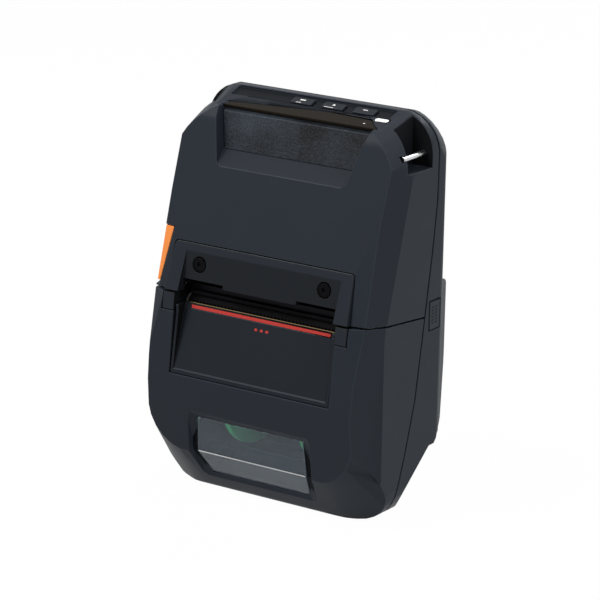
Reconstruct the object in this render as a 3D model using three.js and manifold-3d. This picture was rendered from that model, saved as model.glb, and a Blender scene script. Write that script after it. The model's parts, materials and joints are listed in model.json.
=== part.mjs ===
// Portable 80 mm receipt printer with a faceted clamshell case, standing on its bottom end.
// Millimetres, +Z up, +X to the printer's right as seen from the front, -Y to the front.
// Heights are measured from the base, and depths from the front plane of the paper mouth.
// The finished group is moved so that its origin is the middle of the case's depth.
import * as THREE from "three";
import { mergeVertices } from "three/addons/utils/BufferGeometryUtils.js";
import { ConvexGeometry } from "three/addons/geometries/ConvexGeometry.js";
import Module from "manifold-3d";

const wasm = await Module();
wasm.setup();

// Case, as the lengths that drive the others
const halfWidth = 58.5;
const caseHeight = 174.3;
const splitHeight = 90;
const backDepth = 61;

// The lengths of a table, each added to a base.
function above(base, table) {
  return Object.fromEntries(Object.entries(table).map(([name, rise]) => [name, base + rise]));
}

// The lengths of a table, each taken from a base.
function inFrom(base, table) {
  return Object.fromEntries(Object.entries(table).map(([name, drop]) => [name, base - drop]));
}

// A facet's point from how far it lies in from the side, its depth, and its height above a base.
function facetPoint([inset, depth, rise], base) {
  return [halfWidth - inset, depth, base + rise];
}

// A point whose last number is a height above a base.
function raisedPoint(point, base) {
  return point.map((value, i) => (i === point.length - 1 ? value + base : value));
}

// Points whose second number is a height above a base.
function raised(points, base) {
  return points.map((point) => point.map((value, i) => (i === 1 ? value + base : value)));
}

// Heights measured up from the split
const splitRises = {
  bulgeTop: 9,
  bulgeFullHeight: -20,
  bezelTop: 21.4,
  bezelSinkTop: 18,
  bezelSinkBottom: 5.7,
  visorBottom: 4,
  bezelScrewHeight: 12.6,
  mouthBottom: -35.2,
  tabBottom: -8,
  tearRoot: -4.7,
  tearTip: -3.9,
  stripeHeight: -6.5,
  platenHeight: -8,
  headPivotHeight: 2.5,
  frameTop: 17.8,
  frameUnder: 16,
  frameRibBottom: 2,
  frameRibTop: 14,
  latchHeight: 3,
  leverPivotHeight: 28.5,
  bayPlateTop: 6.3,
  rackPinionHeight: -6,
  packBottom: 14,
  contactBottom: 20,
  contactTop: 26,
  boardBottom: 19,
  flapBottom: -10.3,
  flapTop: 2.4,
  socketBottom: -8.6,
  socketTop: 0.6,
  portBoardBottom: -13,
  portBoardTop: 4.5,
};
const {
  bulgeTop,
  bulgeFullHeight,
  bezelTop,
  bezelSinkTop,
  bezelSinkBottom,
  visorBottom,
  bezelScrewHeight,
  mouthBottom,
  tabBottom,
  tearRoot,
  tearTip,
  stripeHeight,
  platenHeight,
  headPivotHeight,
  frameTop,
  frameUnder,
  frameRibBottom,
  frameRibTop,
  latchHeight,
  leverPivotHeight,
  bayPlateTop,
  rackPinionHeight,
  packBottom,
  contactBottom,
  contactTop,
  boardBottom,
  flapBottom,
  flapTop,
  socketBottom,
  socketTop,
  portBoardBottom,
  portBoardTop,
} = above(splitHeight, splitRises);

// Heights measured down from the top of the case
const topDrops = {
  crownFrontHeight: 6,
  deckHeight: 6.1,
  cavityFloor: 22.6,
  strapPinHeight: 16.7,
  caseScrewHeight: 36.3,
  packTop: 19.3,
  packLatchBottom: 18.6,
  packLatchTop: 15.1,
  packLatchFlangeBottom: 17,
  boardTop: 27.3,
};
const {
  crownFrontHeight,
  deckHeight,
  cavityFloor,
  strapPinHeight,
  caseScrewHeight,
  packTop,
  packLatchBottom,
  packLatchTop,
  packLatchFlangeBottom,
  boardTop,
} = inFrom(caseHeight, topDrops);

// Depths measured in from the back
const backInsets = {
  heelDepth: 15,
  heelUpperDepth: 6.5,
  bulgeBackDepth: -6.4,
  bulgeSideDepth: 4.9,
  bulgeLowDepth: -1.6,
  ridgeDepth: 15,
  rimDepth: 13.5,
  crownBackStart: 9,
  cavityBack: 14.5,
};
const {
  heelDepth,
  heelUpperDepth,
  bulgeBackDepth,
  bulgeSideDepth,
  bulgeLowDepth,
  ridgeDepth,
  rimDepth,
  crownBackStart,
  cavityBack,
} = inFrom(backDepth, backInsets);

// Places measured in from the side of the case
const sideInsets = {
  visorHalf: 39.3,
  springPlace: 38.5,
  bulgeBackHalfWidth: 4,
  barrelHalfWidth: 15.5,
  gripLipHalf: 25.4,
  gripTopHalf: 19,
  deckHalf: 15.5,
  lensHalf: 18.7,
  lensBackHalf: 26.9,
  displayHalf: 27.5,
  keyZoneHalf: 17.5,
  powerKeyPlace: 20.1,
  keypadHalf: 18.5,
  keypadPostPlace: 25,
  cavityInner: 10.5,
  cavityInnerFront: 12.9,
  strapPinPlace: 4.3,
  caseScrewPlace: 8.5,
  bezelFootHalf: 10.7,
  bezelTopHalf: 12,
  bezelSinkHalf: 18.2,
  bezelScrewPlace: 26,
  mouthHalf: 17.2,
  tabOuter: 10.5,
  tabInner: 16.6,
  tearHalf: 21.1,
  stripeHalf: 22.1,
  ribFar: 12.5,
  platenHalf: 18,
  platenShaftLeft: 11.3,
  platenShaftRight: 7.3,
  bearingNear: 16.6,
  bearingFar: 13.9,
  bossFar: 11.1,
  bracketNear: 16.2,
  bracketFar: 14.2,
  gearNear: 10.5,
  gearFar: 7.5,
  motorFar: 20.5,
  motorPlateNear: 20.2,
  motorPlateFar: 18.9,
  headHalf: 17.1,
  headPlateHalf: 19,
  headPinEnd: 13.5,
  headLugNear: 18.6,
  frameSideNear: 6.9,
  frameSideFar: 5.1,
  frameInnerNear: 14.6,
  frameInnerFar: 13.4,
  frameRibNear: 4.8,
  frameRibReach: 1,
  hookNear: 13.1,
  hookFar: 11.3,
  leverBarrelNear: 9,
  leverBarrelFar: 6,
  leverArmNear: 7.7,
  bayHalf: 8.9,
  baySideFar: 7.1,
  packHalf: 22.5,
  boardHalf: 17.5,
  boardPostPlace: 24.5,
  socketNear: 8.2,
  socketFar: 2.9,
  railHalf: 11.5,
};
const {
  bulgeBackHalfWidth,
  barrelHalfWidth,
  gripLipHalf,
  gripTopHalf,
  deckHalf,
  lensHalf,
  lensBackHalf,
  displayHalf,
  keyZoneHalf,
  powerKeyPlace,
  keypadHalf,
  keypadPostPlace,
  cavityInner,
  cavityInnerFront,
  strapPinPlace,
  caseScrewPlace,
  bezelFootHalf,
  bezelTopHalf,
  bezelSinkHalf,
  bezelScrewPlace,
  mouthHalf,
  tabOuter,
  tabInner,
  tearHalf,
  stripeHalf,
  ribFar,
  platenHalf,
  platenShaftLeft,
  platenShaftRight,
  bearingNear,
  bearingFar,
  bossFar,
  bracketNear,
  bracketFar,
  gearNear,
  gearFar,
  motorFar,
  motorPlateNear,
  motorPlateFar,
  headHalf,
  headPlateHalf,
  headPinEnd,
  headLugNear,
  frameSideNear,
  frameSideFar,
  frameInnerNear,
  frameInnerFar,
  frameRibNear,
  frameRibReach,
  hookNear,
  hookFar,
  leverBarrelNear,
  leverBarrelFar,
  leverArmNear,
  bayHalf,
  baySideFar,
  packHalf,
  boardHalf,
  boardPostPlace,
  socketNear,
  socketFar,
  railHalf,
  springPlace,
  visorHalf,
} = inFrom(halfWidth, sideInsets);

// Case form
const splitFallShare = 0.0885;
const wall = 2.4;
const seamGap = 0.8;
const seatGap = 0.3;
const bulgeDepth = 4.6;
const bulgeHeight = 50;
const creaseDepth = 1.6;
const creaseHeight = 20;
const toeDepth = 12.6;
const toeRadius = 6;
const crownFrontDepth = 25.6;
const crownRadius = 13;
const leanShare = crownFrontDepth / (crownFrontHeight - splitHeight);
const ridgeRadius = 2;
const backTopRadius = 12;
const backCornerRadius = 5;
const heelRadius = 6;
const heelUpperHeight = 25;
const waistHeight = 36;
const topCornerRadius = 17;
const crownSteps = 10;
const cheekShare = 0.35;
const crownBackShare = 1.2;
const bottomCornerRadius = 14;

// Roll bulge on the back
const bulgeTopRadius = 5;
const bulgeLowHeight = 36;
const bulgeBottom = 27;

// Facets of the right half, as points of the case (x, y, z)
const ridgeFootInset = [3.9, 3.3, 0];
const ridgeFoot = facetPoint(ridgeFootInset, splitHeight);
const ridgeApexInset = [4.5, 13.8, 42.3];
const ridgeApex = facetPoint(ridgeApexInset, splitHeight);
const headFacetCornerInset = [11.9, 7, 21.4];
const headFacetCorner = facetPoint(headFacetCornerInset, splitHeight);
const headBandPointInset = [0, 20, 20];
const headBandPoint = facetPoint(headBandPointInset, splitHeight);
const ridgeLowInset = [5.3, -3.4, -26.5];
const ridgeLow = facetPoint(ridgeLowInset, splitHeight);
const coverFacetCornerInset = [11.7, -2.8, -11.8];
const coverFacetCorner = facetPoint(coverFacetCornerInset, splitHeight);
const coverBandPointInset = [0, 13.5, 0];
const coverBandPoint = facetPoint(coverBandPointInset, splitHeight);
const heelCutInsets = [[0, 49, 26], [1.9, 31, 8], [14.5, 50, 0]];
const heelCutPoints = heelCutInsets.map((point) => facetPoint(point, 0));
const jawCornerInset = 25.2;
const jawCornerX = halfWidth - jawCornerInset;
const jawCornerHeight = 39.5;
const jawCornerRadius = 20;
const jawBevelSideAngle = 18;
const jawBevelToeAngle = 54.6;
const jawBevelPower = 0.55;
const jawBevelPlanes = 6;

// Seam between the front pieces and the back shell, as depth and height
const seamLowPoints = [[25.5, 13], [27.6, 18.5], [31, 28], [38, 51]];
const seamMiddleRises = [[44, -4], [48.8, 25]];
const seamTopRises = [[51.6, -37.7], [52, -16.3], [50, 1.7]];
const seamPoints = [
  ...seamLowPoints,
  ...raised(seamMiddleRises, splitHeight),
  ...raised(seamTopRises, caseHeight),
];

// Cover hinge
const hingeDepth = 31;
const hingeHeight = 7;
const barrelRadius = 7;
const barrelClearance = 0.8;
const grooveAngle = 50;
const hingePinRadius = 1.5;
const runningGap = 0.2;
const lugRadius = 4.4;
const lugNear = 28;
const lugFar = 36;
const lugGap = 0.5;
const lugRoot = [[16, 11], [14, 8], [15, 1.2], [26, 1.2]];
const barrelSlotBack = 36.5;
const pinOverhang = 4;

// Front shell
const gripLipDrop = [17.7, -30.1];
const gripLip = raisedPoint(gripLipDrop, caseHeight);
const gripCornerDrop = [25.2, -24.4];
const gripCorner = raisedPoint(gripCornerDrop, caseHeight);
const gripTopDrop = [30.5, -6.1];
const gripTop = raisedPoint(gripTopDrop, caseHeight);
const gripCornerRadius = 3;
const panelThickness = 1.8;
const deckDepth = 30.8;
const deckRiseShare = 0.4;
const deckLength = 16.4;
const deckThickness = 3;
const deckLead = 0.8;
const lensFront = 0.3;
const lensBack = 8;
const lensThickness = 1.5;
const lensLedge = 3.5;
const displayDrop = 3.3;
const displayThickness = 2.6;
const keyZoneFront = 8.6;
const keyZoneBack = 15.9;
const keyZoneSink = 1;
const keyPlaces = { left: -5, middle: 11, right: 27 };
const keyHalf = 5.4;
const keyFront = 9.6;
const keyBack = 14;
const keyTop = 0.1;
const keyBottom = 3.9;
const powerKeyLength = 3.4;
const powerKeyRadius = 1.2;
const powerKeyAlong = 7.1;
const keypadTop = 5.6;
const keypadThickness = 1.5;
const keypadPostRadius = 1.5;
const postSteps = 12;
const cavityBehindFront = 8.7;
const cavityWall = 2;
const strapPinRadius = 1.3;
const strapPinSink = 1.7;
const caseScrewPostRadius = 3.2;
const caseScrewBore = 1.2;
const caseScrewPostGap = 0.5;

// Head bezel
const bezelCornerRadius = 1.4;
const bezelThickness = 5;
const bezelSinkBottomDepth = 3.9;
const bezelFloor = 2.4;
const bezelScrewHeadRadius = 3.2;
const bezelScrewHeadThickness = 1.6;
const bezelScrewShankRadius = 1.4;
const bezelScrewLength = 7;
const bezelScrewSink = 0.8;
const bezelScrewSocketRadius = 1.2;
const bezelScrewSocketDepth = 0.9;
const hexSides = 6;

// Cover
const tabDepth = 4.4;
const rampTopRises = [5.4, -5.4];
const rampTop = raisedPoint(rampTopRises, splitHeight);
const rampBottomRises = [-3, -33.3];
const rampBottom = raisedPoint(rampBottomRises, splitHeight);
const rampThickness = 1.8;
const rampFlange = 1.4;
const rampLipSetback = 0.4;
const rampLipThickness = 1.7;
const tearDepth = 5.6;
const tearThickness = 1;
const tearTeeth = 40;
const stripeWidth = 1.5;
const stripeThickness = 0.6;
const stripeGap = 0.1;
const windowOutlinePoints = [[25.4, 9.3], [28.6, 20.3], [27.7, 36.4]];
const windowThickness = 2;
const windowSink = 1.4;
const windowFrameMargin = 3.2;
const windowSeat = 0.3;
const ribNear = 34;
const ribThickness = 1.6;
const ribReach = 3;
const ribBottom = 12;
const ribTop = 50;

// Platen roller in the cover, and the direction in which it leaves the head
const platenDepth = 14;
const platenRadius = 6.5;
const platenShaftRadius = 2.5;
const bearingRadius = 5;
const bossRadius = 3.9;
const bracketRises = [[3.6, -25], [9.4, -25], [20.4, -14], [20.4, -5], [17, -2], [8, -2], [3.6, -5.5]];
const bracketPoints = raised(bracketRises, splitHeight);
const beamRises = [[3.6, -25], [9.4, -25], [9.4, -20], [3.6, -20]];
const beamPoints = raised(beamRises, splitHeight);

// Gears
const driveModule = 0.8;
const platenTeeth = 18;
const idlerTeeth = 20;
const pinionTeeth = 10;
const meshGap = 0.25;
const toothRootShare = 0.56;
const toothTipShare = 0.22;
const toothHeightShare = 0.92;
const toothDepthShare = 1.25;
const idlerStudRadius = 2;
const motorTilt = 78;
const motorRadius = 7.5;
const motorNear = 12;
const motorCollarRadius = 3;
const motorCollarLength = 1;
const pinionShaftRadius = 1.5;

// Print head
const headFront = -3.5;
const headBack = 8.5;
const headPlateThickness = 1.5;
const headJoinGap = 0.3;
const sinkFront = -2;
const sinkTop = 11.4;
const sinkBase = 10;
const sinkSlots = 4;
const sinkSlotWidth = 1.1;
const headPivotDepth = 24.5;
const headPivotRadius = 2.4;
const headPinRadius = 1.4;
const headLugInset = 0.4;
const springRadius = 2.6;
const springWire = 0.45;
const springTurns = 4;
const springAlong = 1;
const springLength = 9.6;
const springSteps = 40;
const curlSteps = 8;
const wireSides = 5;

// Mechanism frame
const frameFront = 14;
const frameBack = 38;
const frameSideRises = [[22, -11], [33, -11], [46, -2], [46, 8], [38, 17.8], [18, 17.8], [18, 2], [22, -2]];
const frameSidePoints = raised(frameSideRises, splitHeight);
const frameInnerRises = [[21, -1], [28, -1], [28.8, 17], [21, 17]];
const frameInnerPoints = raised(frameInnerRises, splitHeight);
const motorPlateRises = [[23, -1], [39, -1], [39, 10.5], [37.8, 17], [23, 17]];
const motorPlatePoints = raised(motorPlateRises, splitHeight);
const frameRibFront = 24;
const frameRibBack = 30;

// Latch
const latchDepth = 43;
const latchShaftRadius = 1.8;
const hookEyeRadius = 4;
const hookUnder = 4.4;
const hookOver = 7.8;
const hookFront = -5;
const hookThroatBack = 5.4;
const hookLow = 1.6;
const leverNotchInsets = [[5.9, 2.4], [9.7, 26.5]];
const leverNotchPoints = leverNotchInsets.map(([inset, rise]) => [inset - halfWidth, splitHeight + rise]);
const leverNotchBack = 15.6;
const leverDrop = 1.2;
const leverPressRoom = 2.1;
const leverSink = 0.2;
const leverThickness = 2.4;
const leverPivotDepth = 19;
const leverBarrelRadius = 2.2;
const leverPinRadius = 1.2;
const leverArmRises = [[8.2, 14], [10.5, 25.2], [17.5, 30], [20.6, 26.9], [12.2, 20], [11.2, 14]];
const leverArmPoints = raised(leverArmRises, splitHeight);
const leverEarThickness = 1.4;
const leverEarGap = 0.3;
const leverEarRises = [[8, 26], [16, 23.5], [22, 25], [22, 32], [10, 34]];
const leverEarPoints = raised(leverEarRises, splitHeight);

// Roll bay and guides
const rollDepth = 31.5;
const rollHeight = 44;
const bayRadius = 30.5;
const bayThickness = 1.8;
const bayStart = -70;
const bayEnd = 38;
const bayPlateFront = 51.8;
const bayPlateRise = 28;
const bayPlateBottom = rollHeight + bayPlateRise;
const bayClear = 1.5;
const baySideTop = 74;
const bayRibFront = 47;
const bayRibBack = 50;
const bayRibBottom = 32;
const bayRibTop = 60;
const baySteps = 18;
const rackModule = 1;
const rackPinionTeeth = 12;
const rackFront = 48.5;
const rackBack = 51.5;
const rackThickness = 2.6;
const rackReach = 30.5;
const rackMeshGap = 0.3;
const railThickness = 1.8;
const railFront = 48.7;
const railGap = 0.3;
const pinionStudRadius = 2;
const guideNear = 18.5;
const guideFar = 21;
const guideRadius = 25.5;
const guideHubRadius = 7;
const guideHubLength = 3.5;
const guideWindowRadius = 4.2;
const guideWindowPlace = 15.5;
const guideWindows = 5;
const guideNeckFront = 45.3;
const guideNeckBack = 48.2;
const guideNeckLow = [[40, 60], [52.5, 52]];
const guideNeckStart = 68;

// Battery
const packFront = 41;
const packGap = 0.3;
const packFloorGap = 0.5;
const packArcSteps = 8;
const packGripHalf = 12;
const packGripHeight = 6;
const packGripSink = 1;
const bayWall = 1.6;
const contactHalf = 12;
const contactFront = 37;
const packLatchHalf = 8;
const packLatchTravel = 3;
const packLatchFlangeHalf = 10.5;
const packLatchFlangeFront = 57;
const packLatchFace = 0.1;

// Board, port and flap
const boardFront = 34;
const boardThickness = 1.6;
const boardPostInset = 4;
const boardPostHeights = [boardBottom + boardPostInset, boardTop - boardPostInset];
const boardPostRadius = 2.5;
const chipPlaceRises = [[-22, 38, 7], [4, 44, 5], [22, 30, 4]];
const chipPlaces = raised(chipPlaceRises, splitHeight);
const chipThickness = 1.4;
const flapFront = 47.7;
const flapBack = 56;
const flapThickness = 2;
const flapGap = 0.45;
const flapHingeRadius = 0.6;
const socketFront = 49.6;
const socketBack = 53;
const socketCorner = 1.5;
const socketWall = 0.5;
const socketTongue = 0.8;
const portBoardBack = 58.4;
const portBoardFront = 45.3;
const portBoardThickness = 1.2;
const portShelfGap = 0.3;
const portShelfThickness = 1.6;

const straightShare = 0.49;
const roundSteps = 6;
const wideRadius = 20;
const gearSteps = 20;
const reach = 400;
const cutOver = 1;
const weld = 1e-4;

// Turns a three.js geometry into a solid that can be cut and joined.
function solid(geometry) {
  const plain = geometry.clone();
  plain.deleteAttribute("normal");
  plain.deleteAttribute("uv");
  const merged = mergeVertices(plain, weld);
  return new wasm.Manifold(new wasm.Mesh({
    numProp: 3,
    vertProperties: merged.attributes.position.array,
    triVerts: new Uint32Array(merged.index.array),
  }));
}

// Turns a solid back into a geometry.
function geometryOf(body) {
  const mesh = body.getMesh();
  const geometry = new THREE.BufferGeometry();
  const positions = new Float32Array(mesh.vertProperties);
  geometry.setAttribute("position", new THREE.BufferAttribute(positions, mesh.numProp));
  geometry.setIndex(new THREE.BufferAttribute(new Uint32Array(mesh.triVerts), 1));
  geometry.computeVertexNormals();
  return geometry;
}

function joined(bodies) {
  return bodies.reduce((sum, body) => sum.add(body));
}

// Corners are [across, up, radius]; the result is the outline with each corner rounded.
function rounded(corners, steps = roundSteps) {
  const points = [];
  corners.forEach((corner, i) => {
    const before = corners[(i + corners.length - 1) % corners.length];
    const after = corners[(i + 1) % corners.length];
    const here = new THREE.Vector2(corner[0], corner[1]);
    const toBefore = new THREE.Vector2(before[0], before[1]).sub(here).normalize();
    const toAfter = new THREE.Vector2(after[0], after[1]).sub(here).normalize();
    const radius = corner[2] || 0;
    const half = Math.acos(THREE.MathUtils.clamp(toBefore.dot(toAfter), -1, 1)) / 2;
    if (radius <= 0 || half > Math.PI * straightShare) {
      points.push(here);
      return;
    }
    const inward = toBefore.clone().add(toAfter).normalize();
    const middle = here.clone().addScaledVector(inward, radius / Math.sin(half));
    const start = here.clone().addScaledVector(toBefore, radius / Math.tan(half)).sub(middle);
    const end = here.clone().addScaledVector(toAfter, radius / Math.tan(half)).sub(middle);
    const turn = Math.atan2(start.cross(end), start.dot(end));
    const count = radius > wideRadius ? 2 * steps : steps;
    for (let k = 0; k <= count; k += 1) {
      points.push(start.clone().rotateAround(new THREE.Vector2(), (turn * k) / count).add(middle));
    }
  });
  return points;
}

// Moves every side of an outline that runs anticlockwise inwards by a distance.
function inset(corners, distance) {
  return corners.map((corner, i) => {
    const before = corners[(i + corners.length - 1) % corners.length];
    const after = corners[(i + 1) % corners.length];
    const inDirection = new THREE.Vector2(corner[0] - before[0], corner[1] - before[1]).normalize();
    const outDirection = new THREE.Vector2(after[0] - corner[0], after[1] - corner[1]).normalize();
    const inNormal = new THREE.Vector2(-inDirection.y, inDirection.x);
    const outNormal = new THREE.Vector2(-outDirection.y, outDirection.x);
    const bisector = inNormal.clone().add(outNormal).normalize();
    const move = distance / bisector.dot(inNormal);
    const radius = Math.max((corner[2] || 0) - distance, 0);
    return [corner[0] + bisector.x * move, corner[1] + bisector.y * move, radius];
  });
}

function shapeOf(points) {
  return new THREE.Shape(points.map((p) => (Array.isArray(p) ? new THREE.Vector2(p[0], p[1]) : p)));
}

function extruded(points, length) {
  return new THREE.ExtrudeGeometry(shapeOf(points), { depth: length, bevelEnabled: false, steps: 1 });
}

// An outline of depth and height, drawn out along the width.
function alongX(points, from, to) {
  const turned = new THREE.Matrix4().makeBasis(
    new THREE.Vector3(0, 1, 0),
    new THREE.Vector3(0, 0, 1),
    new THREE.Vector3(1, 0, 0),
  );
  return solid(extruded(points, to - from).applyMatrix4(turned).translate(from, 0, 0));
}

// An outline of width and height, drawn out along the depth.
function alongY(points, from, to) {
  const turned = new THREE.Matrix4().makeBasis(
    new THREE.Vector3(1, 0, 0),
    new THREE.Vector3(0, 0, 1),
    new THREE.Vector3(0, -1, 0),
  );
  return solid(extruded(points, to - from).applyMatrix4(turned).translate(0, to, 0));
}

// An outline of width and depth, drawn out along the height.
function alongZ(points, from, to) {
  return solid(extruded(points, to - from).translate(0, 0, from));
}

function block(low, high) {
  const size = high.map((value, i) => value - low[i]);
  const middle = high.map((value, i) => (value + low[i]) / 2);
  return solid(new THREE.BoxGeometry(...size).translate(...middle));
}

function circle(across, up, radius, steps = gearSteps, turn = 0) {
  return Array.from({ length: steps }, (_, k) => {
    const angle = turn + (2 * Math.PI * k) / steps;
    return [across + radius * Math.cos(angle), up + radius * Math.sin(angle)];
  });
}

// Everything on the outer side of a plane.
function beyond(point, normal) {
  const facing = new THREE.Quaternion().setFromUnitVectors(new THREE.Vector3(0, 0, 1), normal);
  const middle = point.clone().addScaledVector(normal, reach / 2);
  const box = new THREE.BoxGeometry(reach, reach, reach).applyQuaternion(facing);
  return solid(box.translate(middle.x, middle.y, middle.z));
}

// The plane through three points, with its normal pointing out of the case.
function planeThrough(points) {
  const [a, b, c] = points.map((p) => new THREE.Vector3(...p));
  const normal = b.clone().sub(a).cross(c.clone().sub(a)).normalize();
  const middle = new THREE.Vector3(0, backDepth / 2, splitHeight);
  if (normal.dot(a.clone().sub(middle)) < 0) {
    normal.negate();
  }
  return { point: a, normal };
}

function mirrored(plane) {
  const flip = (v) => new THREE.Vector3(-v.x, v.y, v.z);
  return { point: flip(plane.point), normal: flip(plane.normal) };
}

// Depth of the front face at a height.
function leanDepth(height) {
  return (height - splitHeight) * leanShare;
}

function jawDepth(height) {
  return -bulgeDepth + ((bulgeHeight - height) * (bulgeDepth - creaseDepth)) / (bulgeHeight - creaseHeight);
}

function splitAt(depth) {
  return splitHeight - depth * splitFallShare;
}

// Planes that run round the cover's lower corner, from the side band to the toe.
function jawPlanes() {
  return Array.from({ length: jawBevelPlanes + 1 }, (_, k) => {
    const share = k / jawBevelPlanes;
    const angle = (share * Math.PI) / 2;
    const tilt = jawBevelSideAngle + (jawBevelToeAngle - jawBevelSideAngle) * share ** jawBevelPower;
    const rise = THREE.MathUtils.degToRad(tilt);
    const height = jawCornerHeight - jawCornerRadius * Math.sin(angle);
    const across = jawCornerX + jawCornerRadius * Math.cos(angle);
    const point = new THREE.Vector3(across, jawDepth(height), height);
    const flat = new THREE.Vector3(Math.cos(angle), 0, -Math.sin(angle)).multiplyScalar(Math.cos(rise));
    return { point, normal: flat.add(new THREE.Vector3(0, -Math.sin(rise), 0)) };
  });
}

// Planes that widen the rounding of the case's upper corners, to the front and to the back.
function crownPlanes() {
  const across = halfWidth - topCornerRadius;
  const up = caseHeight - topCornerRadius;
  const topFallShare = (caseHeight - crownFrontHeight) / (ridgeDepth - crownFrontDepth);
  return Array.from({ length: crownSteps - 1 }, (_, k) => {
    const angle = ((k + 1) * Math.PI) / (2 * crownSteps);
    const [cos, sin] = [Math.cos(angle), Math.sin(angle)];
    const [x, z] = [across + topCornerRadius * cos, up + topCornerRadius * sin];
    const widening = cos + sin - 1;
    const forward = topFallShare * sin + cheekShare * widening;
    const backward = crownBackShare * widening;
    return [
      { point: new THREE.Vector3(x, rimDepth, z), normal: new THREE.Vector3(cos, -forward, sin).normalize() },
      { point: new THREE.Vector3(x, crownBackStart, z), normal: new THREE.Vector3(cos, backward, sin).normalize() },
    ];
  }).flat();
}

const caseProfile = [
  [toeDepth, 0, toeRadius],
  [heelDepth, 0, heelRadius],
  [heelUpperDepth, heelUpperHeight, heelRadius],
  [backDepth, waistHeight, heelRadius],
  [backDepth, caseHeight, backTopRadius],
  [ridgeDepth, caseHeight, ridgeRadius],
  [crownFrontDepth, crownFrontHeight, crownRadius],
  [0, splitHeight],
  [-bulgeDepth, bulgeHeight],
  [-creaseDepth, creaseHeight],
];

const caseFront = [
  [-halfWidth, 0, bottomCornerRadius],
  [halfWidth, 0, bottomCornerRadius],
  [halfWidth, caseHeight, topCornerRadius],
  [-halfWidth, caseHeight, topCornerRadius],
];

const casePlan = [
  [-halfWidth, -halfWidth],
  [halfWidth, -halfWidth],
  [halfWidth, backDepth, backCornerRadius],
  [-halfWidth, backDepth, backCornerRadius],
];

const bulgeProfile = [
  [hingeDepth, bulgeBottom],
  [heelUpperDepth, bulgeBottom],
  [bulgeLowDepth, bulgeLowHeight, heelRadius],
  [bulgeBackDepth, bulgeFullHeight],
  [bulgeBackDepth, bulgeTop, bulgeTopRadius],
  [hingeDepth, bulgeTop],
];

const bulgePlan = [
  [-halfWidth, hingeDepth],
  [halfWidth, hingeDepth],
  [halfWidth, bulgeSideDepth],
  [bulgeBackHalfWidth, bulgeBackDepth, ridgeRadius],
  [-bulgeBackHalfWidth, bulgeBackDepth, ridgeRadius],
  [-halfWidth, bulgeSideDepth],
];

const headPlanes = [
  planeThrough([ridgeFoot, ridgeApex, headFacetCorner]),
  planeThrough([ridgeFoot, ridgeApex, headBandPoint]),
];
const coverPlanes = [
  planeThrough([ridgeFoot, ridgeLow, coverFacetCorner]),
  planeThrough([ridgeFoot, ridgeLow, coverBandPoint]),
  ...jawPlanes(),
];
const heelPlanes = [planeThrough(heelCutPoints)];

// The outer form of the case behind a set of facets, moved inwards by a distance.
function caseForm(planes, distance) {
  const profile = rounded(inset(caseProfile, distance));
  const front = rounded(inset(caseFront, distance));
  const plan = rounded(inset(casePlan, distance));
  let form = alongX(profile, -halfWidth, halfWidth);
  form = form.intersect(alongY(front, -halfWidth, reach / 2));
  form = form.intersect(alongZ(plan, -cutOver, caseHeight + cutOver));
  planes.flatMap((plane) => [plane, mirrored(plane)]).forEach(({ point, normal }) => {
    form = form.subtract(beyond(point.clone().addScaledVector(normal, -distance), normal));
  });
  return form;
}

function bulgeForm(distance) {
  const profile = rounded(inset(bulgeProfile, distance));
  const plan = rounded(inset(bulgePlan, distance));
  const form = alongX(profile, -halfWidth, halfWidth);
  return form.intersect(alongZ(plan, 0, caseHeight));
}

const deckAngle = Math.atan(deckRiseShare);
const deckFrame = new THREE.Matrix4().makeRotationX(deckAngle).setPosition(0, deckDepth, deckHeight);
const platenArm = new THREE.Vector2(platenDepth - hingeDepth, platenHeight - hingeHeight).normalize();
const exitAlong = [platenArm.y, -platenArm.x];
const headFrame = new THREE.Matrix4().makeBasis(
  new THREE.Vector3(1, 0, 0),
  new THREE.Vector3(0, exitAlong[0], exitAlong[1]),
  new THREE.Vector3(0, -exitAlong[1], exitAlong[0]),
).setPosition(0, platenDepth, platenHeight);
const sides = [["left", -1], ["right", 1]];

// A point given along and across the roller's way out, as depth and height.
function fromRoller([along, across]) {
  return [
    platenDepth + along * exitAlong[0] - across * exitAlong[1],
    platenHeight + along * exitAlong[1] + across * exitAlong[0],
  ];
}

function blockIn(frame, low, high) {
  const size = high.map((value, i) => value - low[i]);
  const middle = high.map((value, i) => (value + low[i]) / 2);
  return solid(new THREE.BoxGeometry(...size).translate(...middle).applyMatrix4(frame));
}

function span(side, near, far) {
  return side < 0 ? [-far, -near] : [near, far];
}

function sideBlock(side, [near, far], [front, back], [bottom, top]) {
  const [from, to] = span(side, near, far);
  return block([from, front, bottom], [to, back, top]);
}

function rod(depth, height, radius, from, to, steps = gearSteps) {
  return alongX(circle(depth, height, radius, steps), from, to);
}

function sideRod(side, place, radius, near, far, steps = gearSteps) {
  const [from, to] = span(side, near, far);
  return rod(place[0], place[1], radius, from, to, steps);
}

function sidePlate(side, points, near, far) {
  const [from, to] = span(side, near, far);
  return alongX(points, from, to);
}

function post(x, height, radius, front, back) {
  return alongY(circle(x, height, radius, postSteps), front, back);
}

const hinge = [hingeDepth, hingeHeight];
const platen = [platenDepth, platenHeight];

// Points round the hinge, with the angle measured from straight down towards the front.
function hingeArc(radius, from, to) {
  return Array.from({ length: roundSteps + 1 }, (_, k) => {
    const angle = THREE.MathUtils.degToRad(from + ((to - from) * k) / roundSteps);
    return [hingeDepth - radius * Math.sin(angle), hingeHeight - radius * Math.cos(angle)];
  });
}

const splitSeam = seamPoints.reduce((best, point) => (
  Math.abs(point[1] - splitAt(point[0])) < Math.abs(best[1] - splitAt(best[0])) ? point : best
));
const splitBack = [splitSeam[0], splitAt(splitSeam[0] - ridgeFoot[1])];

function seamBetween(low, high, offset) {
  return seamPoints.filter((p) => p[1] > low && p[1] < high).map((p) => [p[0] + offset, p[1]]);
}

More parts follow.
